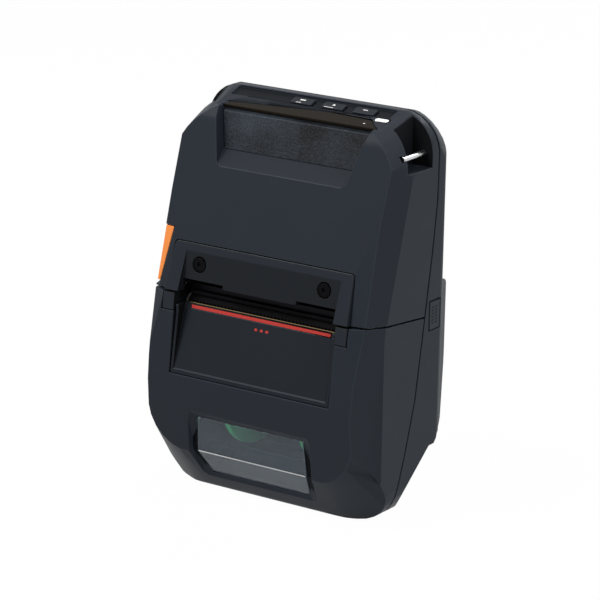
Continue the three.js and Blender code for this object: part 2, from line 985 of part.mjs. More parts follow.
// What belongs to the cover, to the upper front and to the back, seen from the side.
function coverRegion() {
  const half = seamGap / 2;
  return alongX([
    ...hingeArc(barrelRadius + barrelClearance, grooveAngle, 90),
    ...seamBetween(hingeHeight, splitBack[1] - half - cutOver, -half),
    [splitBack[0] - half, splitBack[1] - half],
    [ridgeFoot[1], splitHeight - half],
    [-reach / 2, splitHeight - half],
    [-reach / 2, -reach / 2],
    ...hingeArc(reach / 4, grooveAngle, grooveAngle).slice(0, 1),
  ], -reach, reach);
}

function upperRegion() {
  const half = seamGap / 2;
  return alongX([
    [-reach / 2, splitHeight + half],
    [ridgeFoot[1], splitHeight + half],
    [splitBack[0] - half, splitBack[1] + half],
    ...seamBetween(splitBack[1] + half + cutOver, reach, -half),
    [-reach / 2, reach / 2],
  ], -reach, reach);
}

function backRegion() {
  return alongX([
    [hingeDepth, -reach / 2],
    ...hingeArc(barrelRadius, 0, 90),
    ...seamBetween(hingeHeight, reach, seamGap / 2),
    [reach / 2, reach / 2],
    [reach / 2, -reach / 2],
  ], -reach, reach);
}

function backForm(distance) {
  return caseForm([...heelPlanes, ...crownPlanes()], distance).add(bulgeForm(distance));
}

function frontForm(distance) {
  return caseForm([...headPlanes, ...crownPlanes()], distance);
}

function coverForm(distance) {
  return caseForm([...coverPlanes, ...heelPlanes], distance);
}

const group = new THREE.Group();
const printer = new THREE.Group();
printer.name = "receipt_printer";
printer.position.y = -(bulgeBackDepth - bulgeDepth) / 2;
group.add(printer);

function finish(color, roughness, metalness = 0) {
  return { color, roughness, metalness };
}

const caseFinish = finish(0x2b2e34, 0.55);
const frameFinish = finish(0x1c1d20, 0.6);
const steelFinish = finish(0xb9bcc0, 0.3, 1);
const rubberFinish = finish(0x141414, 0.85);
const gearFinish = finish(0xd8d6cf, 0.5);
const guideFinish = finish(0x3fae6d, 0.45);
const leverFinish = finish(0xe8954a, 0.5);
const boardFinish = finish(0x1f5a3a, 0.5);
const keyFinish = finish(0x31343a, 0.5);
const glossFinish = finish(0x1b1614, 0.12);

function piece(name, body, look) {
  const mesh = new THREE.Mesh(geometryOf(body), new THREE.MeshStandardMaterial(look));
  mesh.name = name;
  printer.add(mesh);
}

// The grip recess: its floor, its back plane and its flaring sides, each moved out by a distance.
function gripForm(sideGrow, floorGrow, backGrow) {
  const floor = new THREE.Vector2(gripCorner[0] - gripLip[0], gripCorner[1] - gripLip[1]).normalize();
  const back = new THREE.Vector2(gripTop[0] - gripCorner[0], gripTop[1] - gripCorner[1]).normalize();
  const start = new THREE.Vector2(...gripLip).addScaledVector(floor, -backDepth);
  start.add(new THREE.Vector2(floor.y, -floor.x).multiplyScalar(floorGrow));
  const corner = new THREE.Vector2(...gripCorner);
  const backShift = new THREE.Vector2(back.y, -back.x).multiplyScalar(backGrow);
  const offset = corner.clone().add(backShift).sub(start);
  const fold = start.clone().addScaledVector(floor, offset.cross(back) / floor.cross(back));
  const end = fold.clone().addScaledVector(back, backDepth);
  const profile = [start, fold, end, new THREE.Vector2(start.x, end.y)];
  const flare = (gripTopHalf - gripLipHalf) / (gripTop[1] - gripLip[1]);
  const topHalf = gripTopHalf + flare * backDepth;
  const top = gripTop[1] + backDepth;
  const outline = inset([
    [-gripLipHalf, gripLip[1] - floorGrow + sideGrow, gripCornerRadius],
    [gripLipHalf, gripLip[1] - floorGrow + sideGrow, gripCornerRadius],
    [topHalf, top],
    [-topHalf, top],
  ], -sideGrow);
  return alongX(profile, -halfWidth, halfWidth).intersect(alongY(rounded(outline), -halfWidth, reach / 2));
}

function cavityForm(side, grow) {
  const bottom = cavityFloor - grow;
  const top = caseHeight + cutOver;
  const profile = [
    [leanDepth(bottom) + cavityBehindFront - grow, bottom],
    [cavityBack + grow, bottom],
    [cavityBack + grow, top],
    [leanDepth(top) + cavityBehindFront - grow, top],
  ];
  const front = leanDepth(bottom) + cavityBehindFront - grow;
  const plan = [
    [side * (cavityInnerFront - grow), front],
    [side * (cavityInner - grow), cavityBack + grow],
    [side * (halfWidth + cutOver), cavityBack + grow],
    [side * (halfWidth + cutOver), front],
  ];
  const [from, to] = span(side, cavityInnerFront - grow, halfWidth + cutOver);
  const around = alongZ(side > 0 ? plan.reverse() : plan, bottom, top);
  return alongX(profile, from, to).intersect(around);
}

// The lever's place in the case, with its lower end dropped and its back moved in by the room for a press.
function leverNotch(grow, drop, room) {
  const [low, high] = leverNotchPoints;
  const across = low[0] - (drop * (high[0] - low[0])) / (high[1] - low[1]);
  const outline = inset([
    [-halfWidth - topCornerRadius, low[1] - drop],
    [across, low[1] - drop],
    [high[0], high[1]],
    [-halfWidth - topCornerRadius, high[1]],
  ], -grow);
  return alongY(outline, -bulgeDepth, leverNotchBack + room + grow);
}

function bezelOutline(grow) {
  return rounded(inset([
    [-bezelFootHalf, splitHeight + seamGap / 2],
    [bezelFootHalf, splitHeight + seamGap / 2],
    [bezelTopHalf, bezelTop, bezelCornerRadius],
    [-bezelTopHalf, bezelTop, bezelCornerRadius],
  ], -grow));
}

function keyBlock(place, grow, overrun) {
  return blockIn(
    deckFrame,
    [place - keyHalf - grow, keyFront - grow, -keyBottom - overrun],
    [place + keyHalf + grow, keyBack + grow, keyTop + overrun],
  );
}

function powerKeyForm(grow, overrun) {
  const outline = rounded([
    [-powerKeyLength - grow, -powerKeyRadius - grow, powerKeyRadius],
    [powerKeyLength + grow, -powerKeyRadius - grow, powerKeyRadius],
    [powerKeyLength + grow, powerKeyRadius + grow, powerKeyRadius],
    [-powerKeyLength - grow, powerKeyRadius + grow, powerKeyRadius],
  ]);
  const top = keyTop + overrun;
  const bottom = -keyBottom - overrun;
  const shape = extruded(outline, top - bottom);
  shape.translate(powerKeyPlace, powerKeyAlong, bottom).applyMatrix4(deckFrame);
  return solid(shape);
}

function strapPinRod(side, grow, front, back) {
  return alongY(circle(side * strapPinPlace, strapPinHeight, strapPinRadius + grow, postSteps), front, back);
}

function leverEars() {
  const near = [leverBarrelNear - leverEarGap - leverEarThickness, leverBarrelNear - leverEarGap];
  const far = [leverBarrelFar + leverEarGap, leverBarrelFar + leverEarGap + leverEarThickness];
  return [near, far].map(([from, to]) => sidePlate(-1, leverEarPoints, from, to));
}

function frontShell() {
  const outer = frontForm(0);
  let shell = outer.subtract(frontForm(wall));
  const walls = [
    gripForm(wall, wall, panelThickness + seatGap),
    blockIn(
      deckFrame,
      [-deckHalf - wall, lensFront, -deckThickness],
      [deckHalf + wall, deckLength + wall, cutOver],
    ),
    ...sides.map(([, side]) => cavityForm(side, cavityWall)),
    ...leverEars(),
    ...sides.map(([, side]) => sideBlock(
      side,
      [frameRibNear, frameRibReach],
      [frameRibFront, frameRibBack],
      [frameRibBottom, frameRibTop],
    )),
    ...sides.map(([, side]) => post(
      side * caseScrewPlace,
      caseScrewHeight,
      caseScrewPostRadius,
      leanDepth(caseScrewHeight),
      seamDepth(caseScrewHeight) - caseScrewPostGap,
    )),
    ...[-1, 1].map((side) => keypadPost(side)),
  ];
  shell = joined([shell, ...walls.map((body) => body.intersect(outer))]).intersect(upperRegion());
  const cuts = [
    gripForm(0, 0, panelThickness + seatGap),
    blockIn(deckFrame, [-deckHalf, -deckLead, 0], [deckHalf, deckLength, wall + deckThickness]),
    lensForm(seatGap, deckThickness),
    blockIn(
      deckFrame,
      [-displayHalf, lensFront + lensLedge, -deckThickness - cutOver],
      [displayHalf, lensBack - lensLedge / 2, cutOver],
    ),
    blockIn(deckFrame, [-keyZoneHalf, keyZoneFront, -keyZoneSink], [keyZoneHalf, keyZoneBack, wall]),
    ...Object.values(keyPlaces).map((place) => keyBlock(place, seatGap, deckThickness)),
    powerKeyForm(seatGap, deckThickness),
    ...sides.map(([, side]) => cavityForm(side, 0)),
    ...sides.map(([, side]) => strapPinRod(
      side,
      seatGap,
      leanDepth(strapPinHeight) + cavityBehindFront - cavityWall - cutOver,
      seamDepth(strapPinHeight),
    )),
    alongY(bezelOutline(seatGap), -bulgeDepth, frameFront - seamGap),
    leverNotch(0, leverDrop, leverPressRoom),
    rod(leverPivotDepth, leverPivotHeight, leverPinRadius + seatGap, -halfWidth + wall, -cavityInner + wall),
    ...sides.map(([, side]) => post(
      side * caseScrewPlace,
      caseScrewHeight,
      caseScrewBore,
      seamDepth(caseScrewHeight) - ridgeDepth / 2,
      backDepth,
    )),
  ];
  return cuts.reduce((body, cut) => body.subtract(cut), shell);
}

function seamDepth(height) {
  const above = seamPoints.findIndex((p) => p[1] > height);
  const [low, high] = [seamPoints[above - 1], seamPoints[above]];
  return low[0] + ((high[0] - low[0]) * (height - low[1])) / (high[1] - low[1]);
}

function keypadPost(side) {
  const shape = extruded(circle(0, 0, keypadPostRadius, postSteps), keypadTop - seatGap - keyZoneSink);
  const along = (keyFront + keyBack) / 2;
  shape.translate(side * keypadPostPlace, along, seatGap - keypadTop).applyMatrix4(deckFrame);
  return solid(shape);
}

function lensForm(grow, overrun) {
  const outline = inset([
    [-lensHalf, lensFront],
    [lensHalf, lensFront],
    [lensBackHalf, lensBack],
    [-lensBackHalf, lensBack],
  ], -grow);
  const shape = extruded(outline, lensThickness + grow + overrun);
  return solid(shape.translate(0, 0, -lensThickness - grow).applyMatrix4(deckFrame));
}

function gripPanel() {
  let panel = gripForm(-seatGap, -seatGap, panelThickness).subtract(gripForm(wall, wall, 0));
  const lid = -lensThickness - seatGap;
  panel = panel.subtract(blockIn(deckFrame, [-reach, -reach, lid], [reach, reach, reach]));
  return panel;
}

function strapPin(side) {
  const front = leanDepth(strapPinHeight) + cavityBehindFront - strapPinSink;
  return strapPinRod(side, 0, front, cavityBack + strapPinSink);
}

function screwAt(side, radius, front, back, steps = postSteps) {
  return alongY(circle(side * bezelScrewPlace, bezelScrewHeight, radius, steps), front, back);
}

// Depth of the bezel's sunken floor at a height.
function bezelFloorDepth(height) {
  const top = leanDepth(bezelSinkTop);
  return top + ((bezelSinkBottomDepth - top) * (bezelSinkTop - height)) / (bezelSinkTop - bezelSinkBottom);
}

function headBezel() {
  const low = splitHeight - topCornerRadius;
  const behind = [
    [leanDepth(low) + bezelThickness, low],
    [leanDepth(caseHeight) + bezelThickness, caseHeight],
    [-halfWidth, caseHeight],
    [-halfWidth, low],
  ];
  let bezel = alongY(bezelOutline(0), -bulgeDepth, backDepth).intersect(caseForm([], 0));
  bezel = bezel.intersect(alongX(behind, -halfWidth, halfWidth));
  const sinkFront = [
    [-bulgeDepth, bezelSinkTop],
    [-bulgeDepth, visorBottom],
    [bezelFloorDepth(visorBottom), visorBottom],
    [bezelFloorDepth(bezelSinkTop), bezelSinkTop],
  ];
  const sinkBack = [
    [bezelFloorDepth(visorBottom) + bezelFloor, visorBottom],
    [bezelFloorDepth(bezelSinkTop) + bezelFloor, bezelSinkTop],
    [backDepth, bezelSinkTop],
    [backDepth, visorBottom],
  ];
  const screwFloor = bezelFloorDepth(bezelScrewHeight);
  const cuts = [
    alongX(sinkFront, -bezelSinkHalf, bezelSinkHalf),
    alongX(sinkBack, -bezelSinkHalf + bezelFloor, bezelSinkHalf - bezelFloor),
    block([-bezelSinkHalf, -bulgeDepth, low], [bezelSinkHalf, backDepth, visorBottom]),
    ...sides.map(([, side]) => sideBlock(
      side,
      [visorHalf, bezelSinkHalf],
      [-bulgeDepth, backDepth],
      [low, bezelSinkBottom],
    )),
    ...sides.flatMap(([, side]) => [
      screwAt(side, bezelScrewShankRadius + seatGap, 0, backDepth),
      screwAt(
        side,
        bezelScrewHeadRadius + seatGap,
        0,
        screwFloor + bezelScrewSink + bezelScrewHeadThickness - cutOver / 2,
      ),
    ]),
  ];
  return cuts.reduce((body, cut) => body.subtract(cut), bezel);
}

function bezelScrew(side) {
  const front = bezelFloorDepth(bezelScrewHeight) + bezelScrewSink - cutOver / 2 - seatGap;
  const shoulder = front + bezelScrewHeadThickness;
  const head = screwAt(side, bezelScrewHeadRadius, front, shoulder);
  const shank = screwAt(side, bezelScrewShankRadius, front, shoulder + bezelScrewLength);
  const socket = screwAt(side, bezelScrewSocketRadius, 0, front + bezelScrewSocketDepth, hexSides);
  return head.add(shank).subtract(socket);
}

function hullOf(points) {
  return solid(new ConvexGeometry(points));
}

// Depth of the cover's front below the split.
function coverDepth(height) {
  if (height > bulgeHeight) {
    return (-bulgeDepth * (splitHeight - height)) / (splitHeight - bulgeHeight);
  }
  if (height > creaseHeight) {
    return jawDepth(height);
  }
  return -creaseDepth + ((creaseHeight - height) * (toeDepth + creaseDepth)) / creaseHeight;
}

// The window's opening, with its sides moved out and its face set in.
function windowPrism(margin, face) {
  const [low, middle, high] = windowOutlinePoints;
  const half = [
    [low[0] + margin, low[1] - margin],
    [middle[0] + margin, creaseHeight],
    [high[0] + margin, high[1] + margin],
  ];
  return half.flatMap(([x, z]) => (
    [-x, x].map((across) => new THREE.Vector3(across, coverDepth(z) + face, z))
  ));
}

function windowHole(grow) {
  const outline = windowOutlinePoints.map(([x, z], i) => [x + grow, z + (i === 0 ? -grow : grow)]);
  const both = [...outline, ...outline.map(([x, z]) => [-x, z]).reverse()];
  return alongY(both, -bulgeDepth - cutOver, platenDepth);
}

function windowChamfer() {
  const outer = windowPrism(windowFrameMargin + windowSink, -windowSink);
  const inner = windowPrism(windowSeat, windowSink);
  return hullOf([...outer, ...inner]);
}

function paperWindow() {
  const body = coverForm(windowSink).subtract(coverForm(windowSink + windowThickness));
  return body.intersect(windowHole(0));
}

function coverLug(side) {
  const eye = sideRod(side, hinge, lugRadius, lugNear, lugFar);
  const [from, to] = span(side, lugNear, lugFar);
  const [a, b, c, d] = lugRoot;
  const tops = circle(hinge[0], hinge[1], lugRadius, gearSteps);
  const outline = [...tops, a, b, c, d];
  const points = outline.flatMap(([y, z]) => [from, to].map((x) => new THREE.Vector3(x, y, z)));
  return eye.add(hullOf(points));
}

function coverRib(side, place) {
  const [from, to] = span(side, place, place + ribThickness);
  return block([from, -bulgeDepth, ribBottom], [to, wall + ribReach, ribTop]);
}

function coverShell() {
  const outer = coverForm(0);
  let shell = outer.subtract(coverForm(wall));
  const ribs = sides.flatMap(([, side]) => [coverRib(side, ribNear), coverRib(side, ribFar)]);
  shell = joined([shell, ...ribs.map((rib) => rib.intersect(outer))]).intersect(coverRegion());
  shell = joined([shell, ...sides.map(([, side]) => coverLug(side))]);
  const mouth = block(
    [-mouthHalf - seatGap, -bulgeDepth - cutOver, mouthBottom - seatGap],
    [mouthHalf + seatGap, platenDepth - platenRadius, splitHeight + cutOver],
  );
  const tabs = block(
    [-tabOuter - seatGap, -bulgeDepth - cutOver, tabBottom - seatGap],
    [tabOuter + seatGap, tabDepth + cutOver, splitHeight + cutOver],
  );
  const bores = sides.map(([, side]) => sideRod(side, hinge, hingePinRadius + runningGap, 0, halfWidth));
  const cuts = [mouth, tabs, windowHole(windowSeat), windowChamfer(), ...bores];
  return cuts.reduce((body, cut) => body.subtract(cut), shell);
}

function rampDepth(height) {
  const slope = (rampTop[0] - rampBottom[0]) / (rampTop[1] - rampBottom[1]);
  return rampBottom[0] + (height - rampBottom[1]) * slope;
}

function rampPanel() {
  const low = mouthBottom;
  const plate = [
    [rampDepth(rampTop[1]), rampTop[1]],
    [rampDepth(rampBottom[1]), rampBottom[1]],
    [coverDepth(rampBottom[1]) + rampLipSetback, rampBottom[1]],
    [coverDepth(low) + rampLipSetback, low],
    [rampDepth(low) + rampThickness, low],
    [rampDepth(rampTop[1]) + rampThickness, rampTop[1]],
  ];
  const flange = [
    [coverDepth(splitHeight - seamGap) + rampLipSetback, tabBottom],
    [coverDepth(rampBottom[1]) + rampLipSetback, rampBottom[1]],
    [rampDepth(rampBottom[1]) + rampThickness, rampBottom[1]],
    [rampDepth(rampTop[1]) + rampThickness, rampTop[1]],
    [coverDepth(rampTop[1]) + rampLipSetback * 2, rampTop[1]],
  ];
  const flanges = sides.map(([, side]) => sidePlate(side, flange, mouthHalf - rampFlange, mouthHalf));
  const body = joined([alongX(plate, -mouthHalf, mouthHalf), ...flanges]);
  return body.subtract(stripeForm(stripeGap));
}

// The coloured strip that is let into the ramp below the tear edge.
function stripeForm(grow) {
  const low = stripeHeight - stripeWidth / 2 - grow;
  const high = stripeHeight + stripeWidth / 2 + grow;
  const front = grow > 0 ? cutOver : 0;
  const points = [
    [rampDepth(low) - front, low],
    [rampDepth(high) - front, high],
    [rampDepth(high) + stripeThickness + grow, high],
    [rampDepth(low) + stripeThickness + grow, low],
  ];
  return alongX(points, -stripeHalf - grow, stripeHalf + grow);
}

function tearBar() {
  const pitch = (2 * tearHalf) / tearTeeth;
  const teeth = Array.from({ length: tearTeeth }, (_, k) => [
    [tearHalf - k * pitch, tearRoot],
    [tearHalf - (k + 1 / 2) * pitch, tearTip],
  ]).flat();
  const foot = rampTop[1] + seatGap;
  const outline = [[-tearHalf, foot], [tearHalf, foot], ...teeth, [-tearHalf, tearRoot]];
  return alongY(outline, tearDepth, tearDepth + tearThickness);
}

function coverFrame() {
  const beam = alongX(beamPoints, -bracketFar, bracketFar);
  const top = splitHeight - seamGap / 2;
  const outside = coverForm(0);
  const parts = sides.flatMap(([, side]) => {
    const tab = sideBlock(side, [tabInner, tabOuter], [-bulgeDepth, tabDepth], [tabBottom, top]);
    return [sidePlate(side, bracketPoints, bracketNear, bracketFar), tab.intersect(outside)];
  });
  const [near, far] = [tabInner - cutOver, bracketFar + cutOver];
  const holes = sides.map(([, side]) => sideRod(side, platen, bearingRadius + seatGap, near, far));
  return holes.reduce((body, hole) => body.subtract(hole), joined([beam, ...parts]));
}

function rollerBearing(side) {
  const ring = sideRod(side, platen, bearingRadius, bearingNear, bearingFar);
  const boss = sideRod(side, platen, bossRadius, bearingNear, bossFar);
  const bore = sideRod(side, platen, platenShaftRadius + seatGap, bearingNear - cutOver, bossFar + cutOver);
  return ring.add(boss).subtract(bore);
}

// A spur gear's outline, with a tooth centred on the given turn.
function gearOutline(place, teeth, module, turn = 0) {
  const pitch = (module * teeth) / 2;
  const tip = pitch + module * toothHeightShare;
  const root = pitch - module * toothDepthShare;
  const step = (2 * Math.PI) / teeth;
  return Array.from({ length: teeth }, (_, k) => {
    const middle = turn + k * step;
    const corners = [
      [root, -toothRootShare],
      [tip, -toothTipShare],
      [tip, toothTipShare],
      [root, toothRootShare],
    ];
    return corners.map(([radius, share]) => {
      const angle = middle + (share * step) / 2;
      return [place[0] + radius * Math.cos(angle), place[1] + radius * Math.sin(angle)];
    });
  }).flat();
}

const idlerSpan = (driveModule * (platenTeeth + idlerTeeth)) / 2 + meshGap;
const idler = [platenDepth + idlerSpan * exitAlong[0], platenHeight + idlerSpan * exitAlong[1]];
const motorSpan = (driveModule * (idlerTeeth + pinionTeeth)) / 2 + meshGap;
const motorAngle = THREE.MathUtils.degToRad(motorTilt);
const motor = [idler[0] + motorSpan * Math.cos(motorAngle), idler[1] + motorSpan * Math.sin(motorAngle)];
const exitAngle = Math.atan2(exitAlong[1], exitAlong[0]);

function gearBody(place, teeth, turn, bore) {
  const body = alongX(gearOutline(place, teeth, driveModule, turn), gearNear, gearFar);
  return body.subtract(rod(place[0], place[1], bore, gearNear - cutOver, gearFar + cutOver));
}

function platenShaft() {
  return rod(platen[0], platen[1], platenShaftRadius, -platenShaftLeft, platenShaftRight);
}

function platenSleeve() {
  const body = rod(platen[0], platen[1], platenRadius, -platenHalf, platenHalf, gearSteps + postSteps);
  return body.subtract(rod(
    platen[0],
    platen[1],
    platenShaftRadius + seatGap,
    -platenHalf - cutOver,
    platenHalf + cutOver,
  ));
}

function motorPinion() {
  const gear = alongX(gearOutline(motor, pinionTeeth, driveModule, pinionTurn()), gearNear, gearFar);
  const near = motorFar + motorCollarLength + seatGap;
  return gear.add(rod(motor[0], motor[1], pinionShaftRadius, near, gearFar));
}

function feedMotor() {
  const can = rod(motor[0], motor[1], motorRadius, motorNear, motorFar);
  return can.add(rod(motor[0], motor[1], motorCollarRadius, motorNear, motorFar + motorCollarLength));
}

function idlerTurn() {
  return exitAngle + Math.PI + Math.PI / idlerTeeth;
}

// The turn at which the pinion's gap meets the idler's tooth.
function pinionTurn() {
  const step = (2 * Math.PI) / idlerTeeth;
  const phase = (motorAngle - idlerTurn()) / step;
  return motorAngle + Math.PI + (phase - Math.floor(phase) - 1 / 2) * ((2 * Math.PI) / pinionTeeth);
}

// The thermal head over the roller, and its cooling block with fins.
function printHead() {
  const low = platenRadius + seatGap;
  const high = low + headPlateThickness;
  return blockIn(headFrame, [-headPlateHalf, headFront, low], [headPlateHalf, headBack, high]);
}

function heatSink() {
  const low = platenRadius + seatGap + headPlateThickness + headJoinGap;
  let body = blockIn(headFrame, [-headHalf, sinkFront, low], [headHalf, headBack, sinkTop]);
  const pitch = (headBack - sinkFront) / (sinkSlots + 1);
  for (let k = 1; k <= sinkSlots; k += 1) {
    const along = sinkFront + k * pitch;
    const [from, to] = [along - sinkSlotWidth / 2, along + sinkSlotWidth / 2];
    const end = headLugNear - cutOver;
    body = body.subtract(blockIn(headFrame, [-end, from, sinkBase], [end, to, sinkTop + cutOver]));
  }
  sides.forEach(([, side]) => {
    body = body.add(headLug(side));
  });
  return body;
}

function headLug(side) {
  const [from, to] = span(side, headLugNear, headHalf - headLugInset);
  const pivot = [headPivotDepth, headPivotHeight];
  const low = platenRadius + seatGap + headPlateThickness + headJoinGap + headLugInset;
  const along = headBack - headPivotRadius;
  const root = [fromRoller([along, low]), fromRoller([along, sinkTop - headLugInset])];
  const outline = [...circle(...pivot, headPivotRadius, postSteps), ...root];
  const lug = hullOf(outline.flatMap(([y, z]) => [from, to].map((x) => new THREE.Vector3(x, y, z))));
  return lug.add(sideRod(side, pivot, headPinRadius, headLugNear + headLugInset, headPinEnd, postSteps));
}

function springCurve(x, start) {
  const points = Array.from({ length: springSteps + 1 }, (_, k) => {
    const share = k / springSteps;
    const angle = share * springTurns * 2 * Math.PI;
    return new THREE.Vector3(
      x + springRadius * Math.cos(angle),
      start[0] + springRadius * Math.sin(angle),
      start[1] + share * springLength,
    );
  });
  return new THREE.CatmullRomCurve3(points);
}

function headSpring(side) {
  const start = fromRoller([springAlong, sinkTop]);
  const rise = springRadius * (exitAlong[1] / exitAlong[0]) + springWire + seatGap;
  const wire = shapeOf(circle(0, 0, springWire, wireSides));
  const path = springCurve(side * springPlace, [start[0], start[1] + rise]);
  const settings = { steps: springTurns * curlSteps, extrudePath: path, bevelEnabled: false };
  return solid(new THREE.ExtrudeGeometry(wire, settings));
}

function mechanismFrame() {
  const plate = block([-frameSideFar, frameFront, frameUnder], [frameSideFar, frameBack, frameTop]);
  const parts = sides.flatMap(([, side]) => [
    sidePlate(side, frameSidePoints, frameSideNear, frameSideFar),
    sidePlate(side, frameInnerPoints, frameInnerNear, frameInnerFar),
  ]);
  parts.push(alongX(motorPlatePoints, motorPlateNear, motorPlateFar));
  const stud = rod(idler[0], idler[1], idlerStudRadius, gearNear - runningGap, frameSideNear + cutOver / 2);
  const latch = [latchDepth, latchHeight];
  const pivot = [headPivotDepth, headPivotHeight];
  const cuts = [
    rod(...latch, latchShaftRadius + seatGap, -halfWidth, halfWidth),
    ...sides.map(([, side]) => sideRod(
      side,
      pivot,
      headPinRadius + seatGap,
      frameInnerNear - cutOver,
      frameInnerFar + cutOver,
      postSteps,
    )),
    rod(...motor, motorCollarRadius + seatGap, motorFar, motorPlateFar + cutOver),
  ];
  return cuts.reduce((body, cut) => body.subtract(cut), joined([plate, ...parts, stud]));
}

function latchShaft() {
  return rod(latchDepth, latchHeight, latchShaftRadius, -frameSideFar + seatGap, frameSideFar - seatGap);
}

function latchHook(side) {
  const place = [latchDepth, latchHeight];
  const along = (latchDepth - platenDepth) * exitAlong[0] + (latchHeight - platenHeight) * exitAlong[1];
  const arm = [
    [hookFront, hookUnder],
    [hookThroatBack, hookUnder],
    [hookThroatBack + hookLow, hookLow],
    [along, hookLow],
    [along, hookOver],
    [hookFront, hookOver],
  ].map(fromRoller);
  const eye = sideRod(side, place, hookEyeRadius, hookNear, hookFar);
  const bore = sideRod(side, place, latchShaftRadius + runningGap, hookNear - cutOver, hookFar + cutOver);
  return sidePlate(side, arm, hookNear, hookFar).add(eye).subtract(bore);
}

function releaseLever() {
  const skin = frontForm(leverSink).subtract(frontForm(leverThickness));
  const pad = skin.intersect(leverNotch(-seatGap, 0, 0));
  const arm = sidePlate(-1, leverArmPoints, leverArmNear, leverBarrelFar);
  const place = [leverPivotDepth, leverPivotHeight];
  const barrel = sideRod(-1, place, leverBarrelRadius, leverBarrelNear, leverBarrelFar);
  const ear = leverEarGap + leverEarThickness;
  const pin = sideRod(-1, place, leverPinRadius, leverBarrelNear - ear, leverBarrelFar + ear, postSteps);
  return joined([pad, arm, barrel, pin]);
}

function backShell() {
  const outer = backForm(0);
  let shell = outer.subtract(backForm(wall));
  const bay = block(
    [-packHalf - packGap - bayWall, packFront - packFloorGap - bayWall, packBottom - packGap - bayWall],
    [packHalf + packGap + bayWall, backDepth, packTop + packGap + bayWall],
  );
  const ribs = sides.flatMap(([, side]) => [
    sideBlock(side, [baySideFar + seatGap, halfWidth], [bayRibFront, bayRibBack], [bayRibBottom, bayRibTop]),
    post(
      side * caseScrewPlace,
      caseScrewHeight,
      caseScrewPostRadius,
      seamDepth(caseScrewHeight) + caseScrewPostGap,
      backDepth,
    ),
  ]);
  const shelf = sideBlock(
    1,
    [socketNear, halfWidth],
    [portBoardFront + cutOver, portBoardBack],
    [portBoardBottom - portShelfGap - portShelfThickness, portBoardBottom - portShelfGap],
  );
  shell = joined([shell, ...[...ribs, shelf].map((rib) => rib.intersect(outer))]).intersect(backRegion());
  const barrel = rod(...hinge, barrelRadius, -barrelHalfWidth, barrelHalfWidth, 2 * gearSteps);
  const posts = boardPostHeights.flatMap((height) => [-1, 1].map((side) => post(
    side * boardPostPlace,
    height,
    boardPostRadius,
    boardFront + boardThickness + seatGap,
    packFront - packFloorGap - bayWall / 2,
  )));
  shell = joined([shell, barrel, bay.intersect(outer), ...posts]);
  return backCuts().reduce((body, cut) => body.subtract(cut), shell);
}

function backCuts() {
  return [
    block(
      [-packHalf - packGap, packFront - packFloorGap, packBottom - packGap],
      [packHalf + packGap, backDepth + cutOver, packTop + packGap],
    ),
    block(
      [-packLatchHalf - seatGap, packLatchFlangeFront + cutOver, packTop],
      [packLatchHalf + seatGap, backDepth + cutOver, packLatchTop + packLatchTravel + seatGap],
    ),
    block(
      [-contactHalf - seatGap, contactFront, contactBottom - seatGap],
      [contactHalf + seatGap, packFront, contactTop + seatGap],
    ),
    flapForm(flapGap, cutOver),
    ...sides.map(([, side]) => sideBlock(
      side,
      [lugNear - lugGap, lugFar + lugGap],
      [hingeDepth - 2 * barrelRadius, barrelSlotBack],
      [-cutOver, hingeHeight + barrelRadius + cutOver],
    )),
    ...sides.map(([, side]) => sideRod(
      side,
      hinge,
      hingePinRadius + runningGap,
      lugNear - pinOverhang - seatGap,
      lugFar + pinOverhang + seatGap,
    )),
    ...sides.map(([, side]) => post(
      side * caseScrewPlace,
      caseScrewHeight,
      caseScrewBore,
      0,
      backDepth - wall,
    )),
  ];
}

function hingePin(side) {
  return sideRod(side, hinge, hingePinRadius, lugNear - pinOverhang, lugFar + pinOverhang);
}

function bayArc(radius) {
  return Array.from({ length: baySteps + 1 }, (_, k) => {
    const angle = THREE.MathUtils.degToRad(bayStart + ((bayEnd - bayStart) * k) / baySteps);
    return [rollDepth + radius * Math.cos(angle), rollHeight + radius * Math.sin(angle)];
  });
}

function rollBayFrame() {
  const liner = alongX([
    ...bayArc(bayRadius),
    [bayPlateFront, bayPlateBottom],
    [bayPlateFront, bayPlateTop],
    [bayPlateFront + railThickness, bayPlateTop],
    [bayPlateFront + railThickness, bayPlateBottom],
    ...bayArc(bayRadius + bayThickness).reverse(),
  ], -bayHalf, bayHalf);
  const behind = alongX([
    ...seamBetween(hingeHeight, splitBack[1], bayClear),
    [splitBack[0] + bayClear, baySideTop],
    [reach, baySideTop],
    [reach, 0],
  ], -halfWidth, halfWidth);
  const plates = sides.map(([, side]) => {
    const outer = bayRadius + bayThickness;
    const disc = sideRod(side, [rollDepth, rollHeight], outer, bayHalf - cutOver / 2, baySideFar);
    return disc.intersect(behind);
  });
  const railBack = bayPlateFront + cutOver;
  const rail = (bottom) => block([-railHalf, railFront, bottom], [railHalf, railBack, bottom + railThickness]);
  const rackOut = rackPitch() + rackModule * toothDepthShare + rackThickness;
  const stud = alongY(circle(0, rackPinionHeight, pinionStudRadius, gearSteps), railFront, railBack);
  const body = joined([
    liner,
    ...plates,
    rail(rackPinionHeight + rackOut + railGap),
    rail(rackPinionHeight - rackOut - railGap - railThickness),
    stud,
  ]);
  return body.intersect(backForm(wall + seatGap));
}

function rackPitch() {
  return (rackModule * rackPinionTeeth) / 2 + rackMeshGap;
}

function guidePinion() {
  const turn = Math.PI / rackPinionTeeth;
  const outline = gearOutline([0, rackPinionHeight], rackPinionTeeth, rackModule, turn);
  const body = alongY(outline, rackFront + runningGap, rackBack - runningGap);
  const bore = circle(0, rackPinionHeight, pinionStudRadius + runningGap, gearSteps);
  return body.subtract(alongY(bore, 0, backDepth));
}

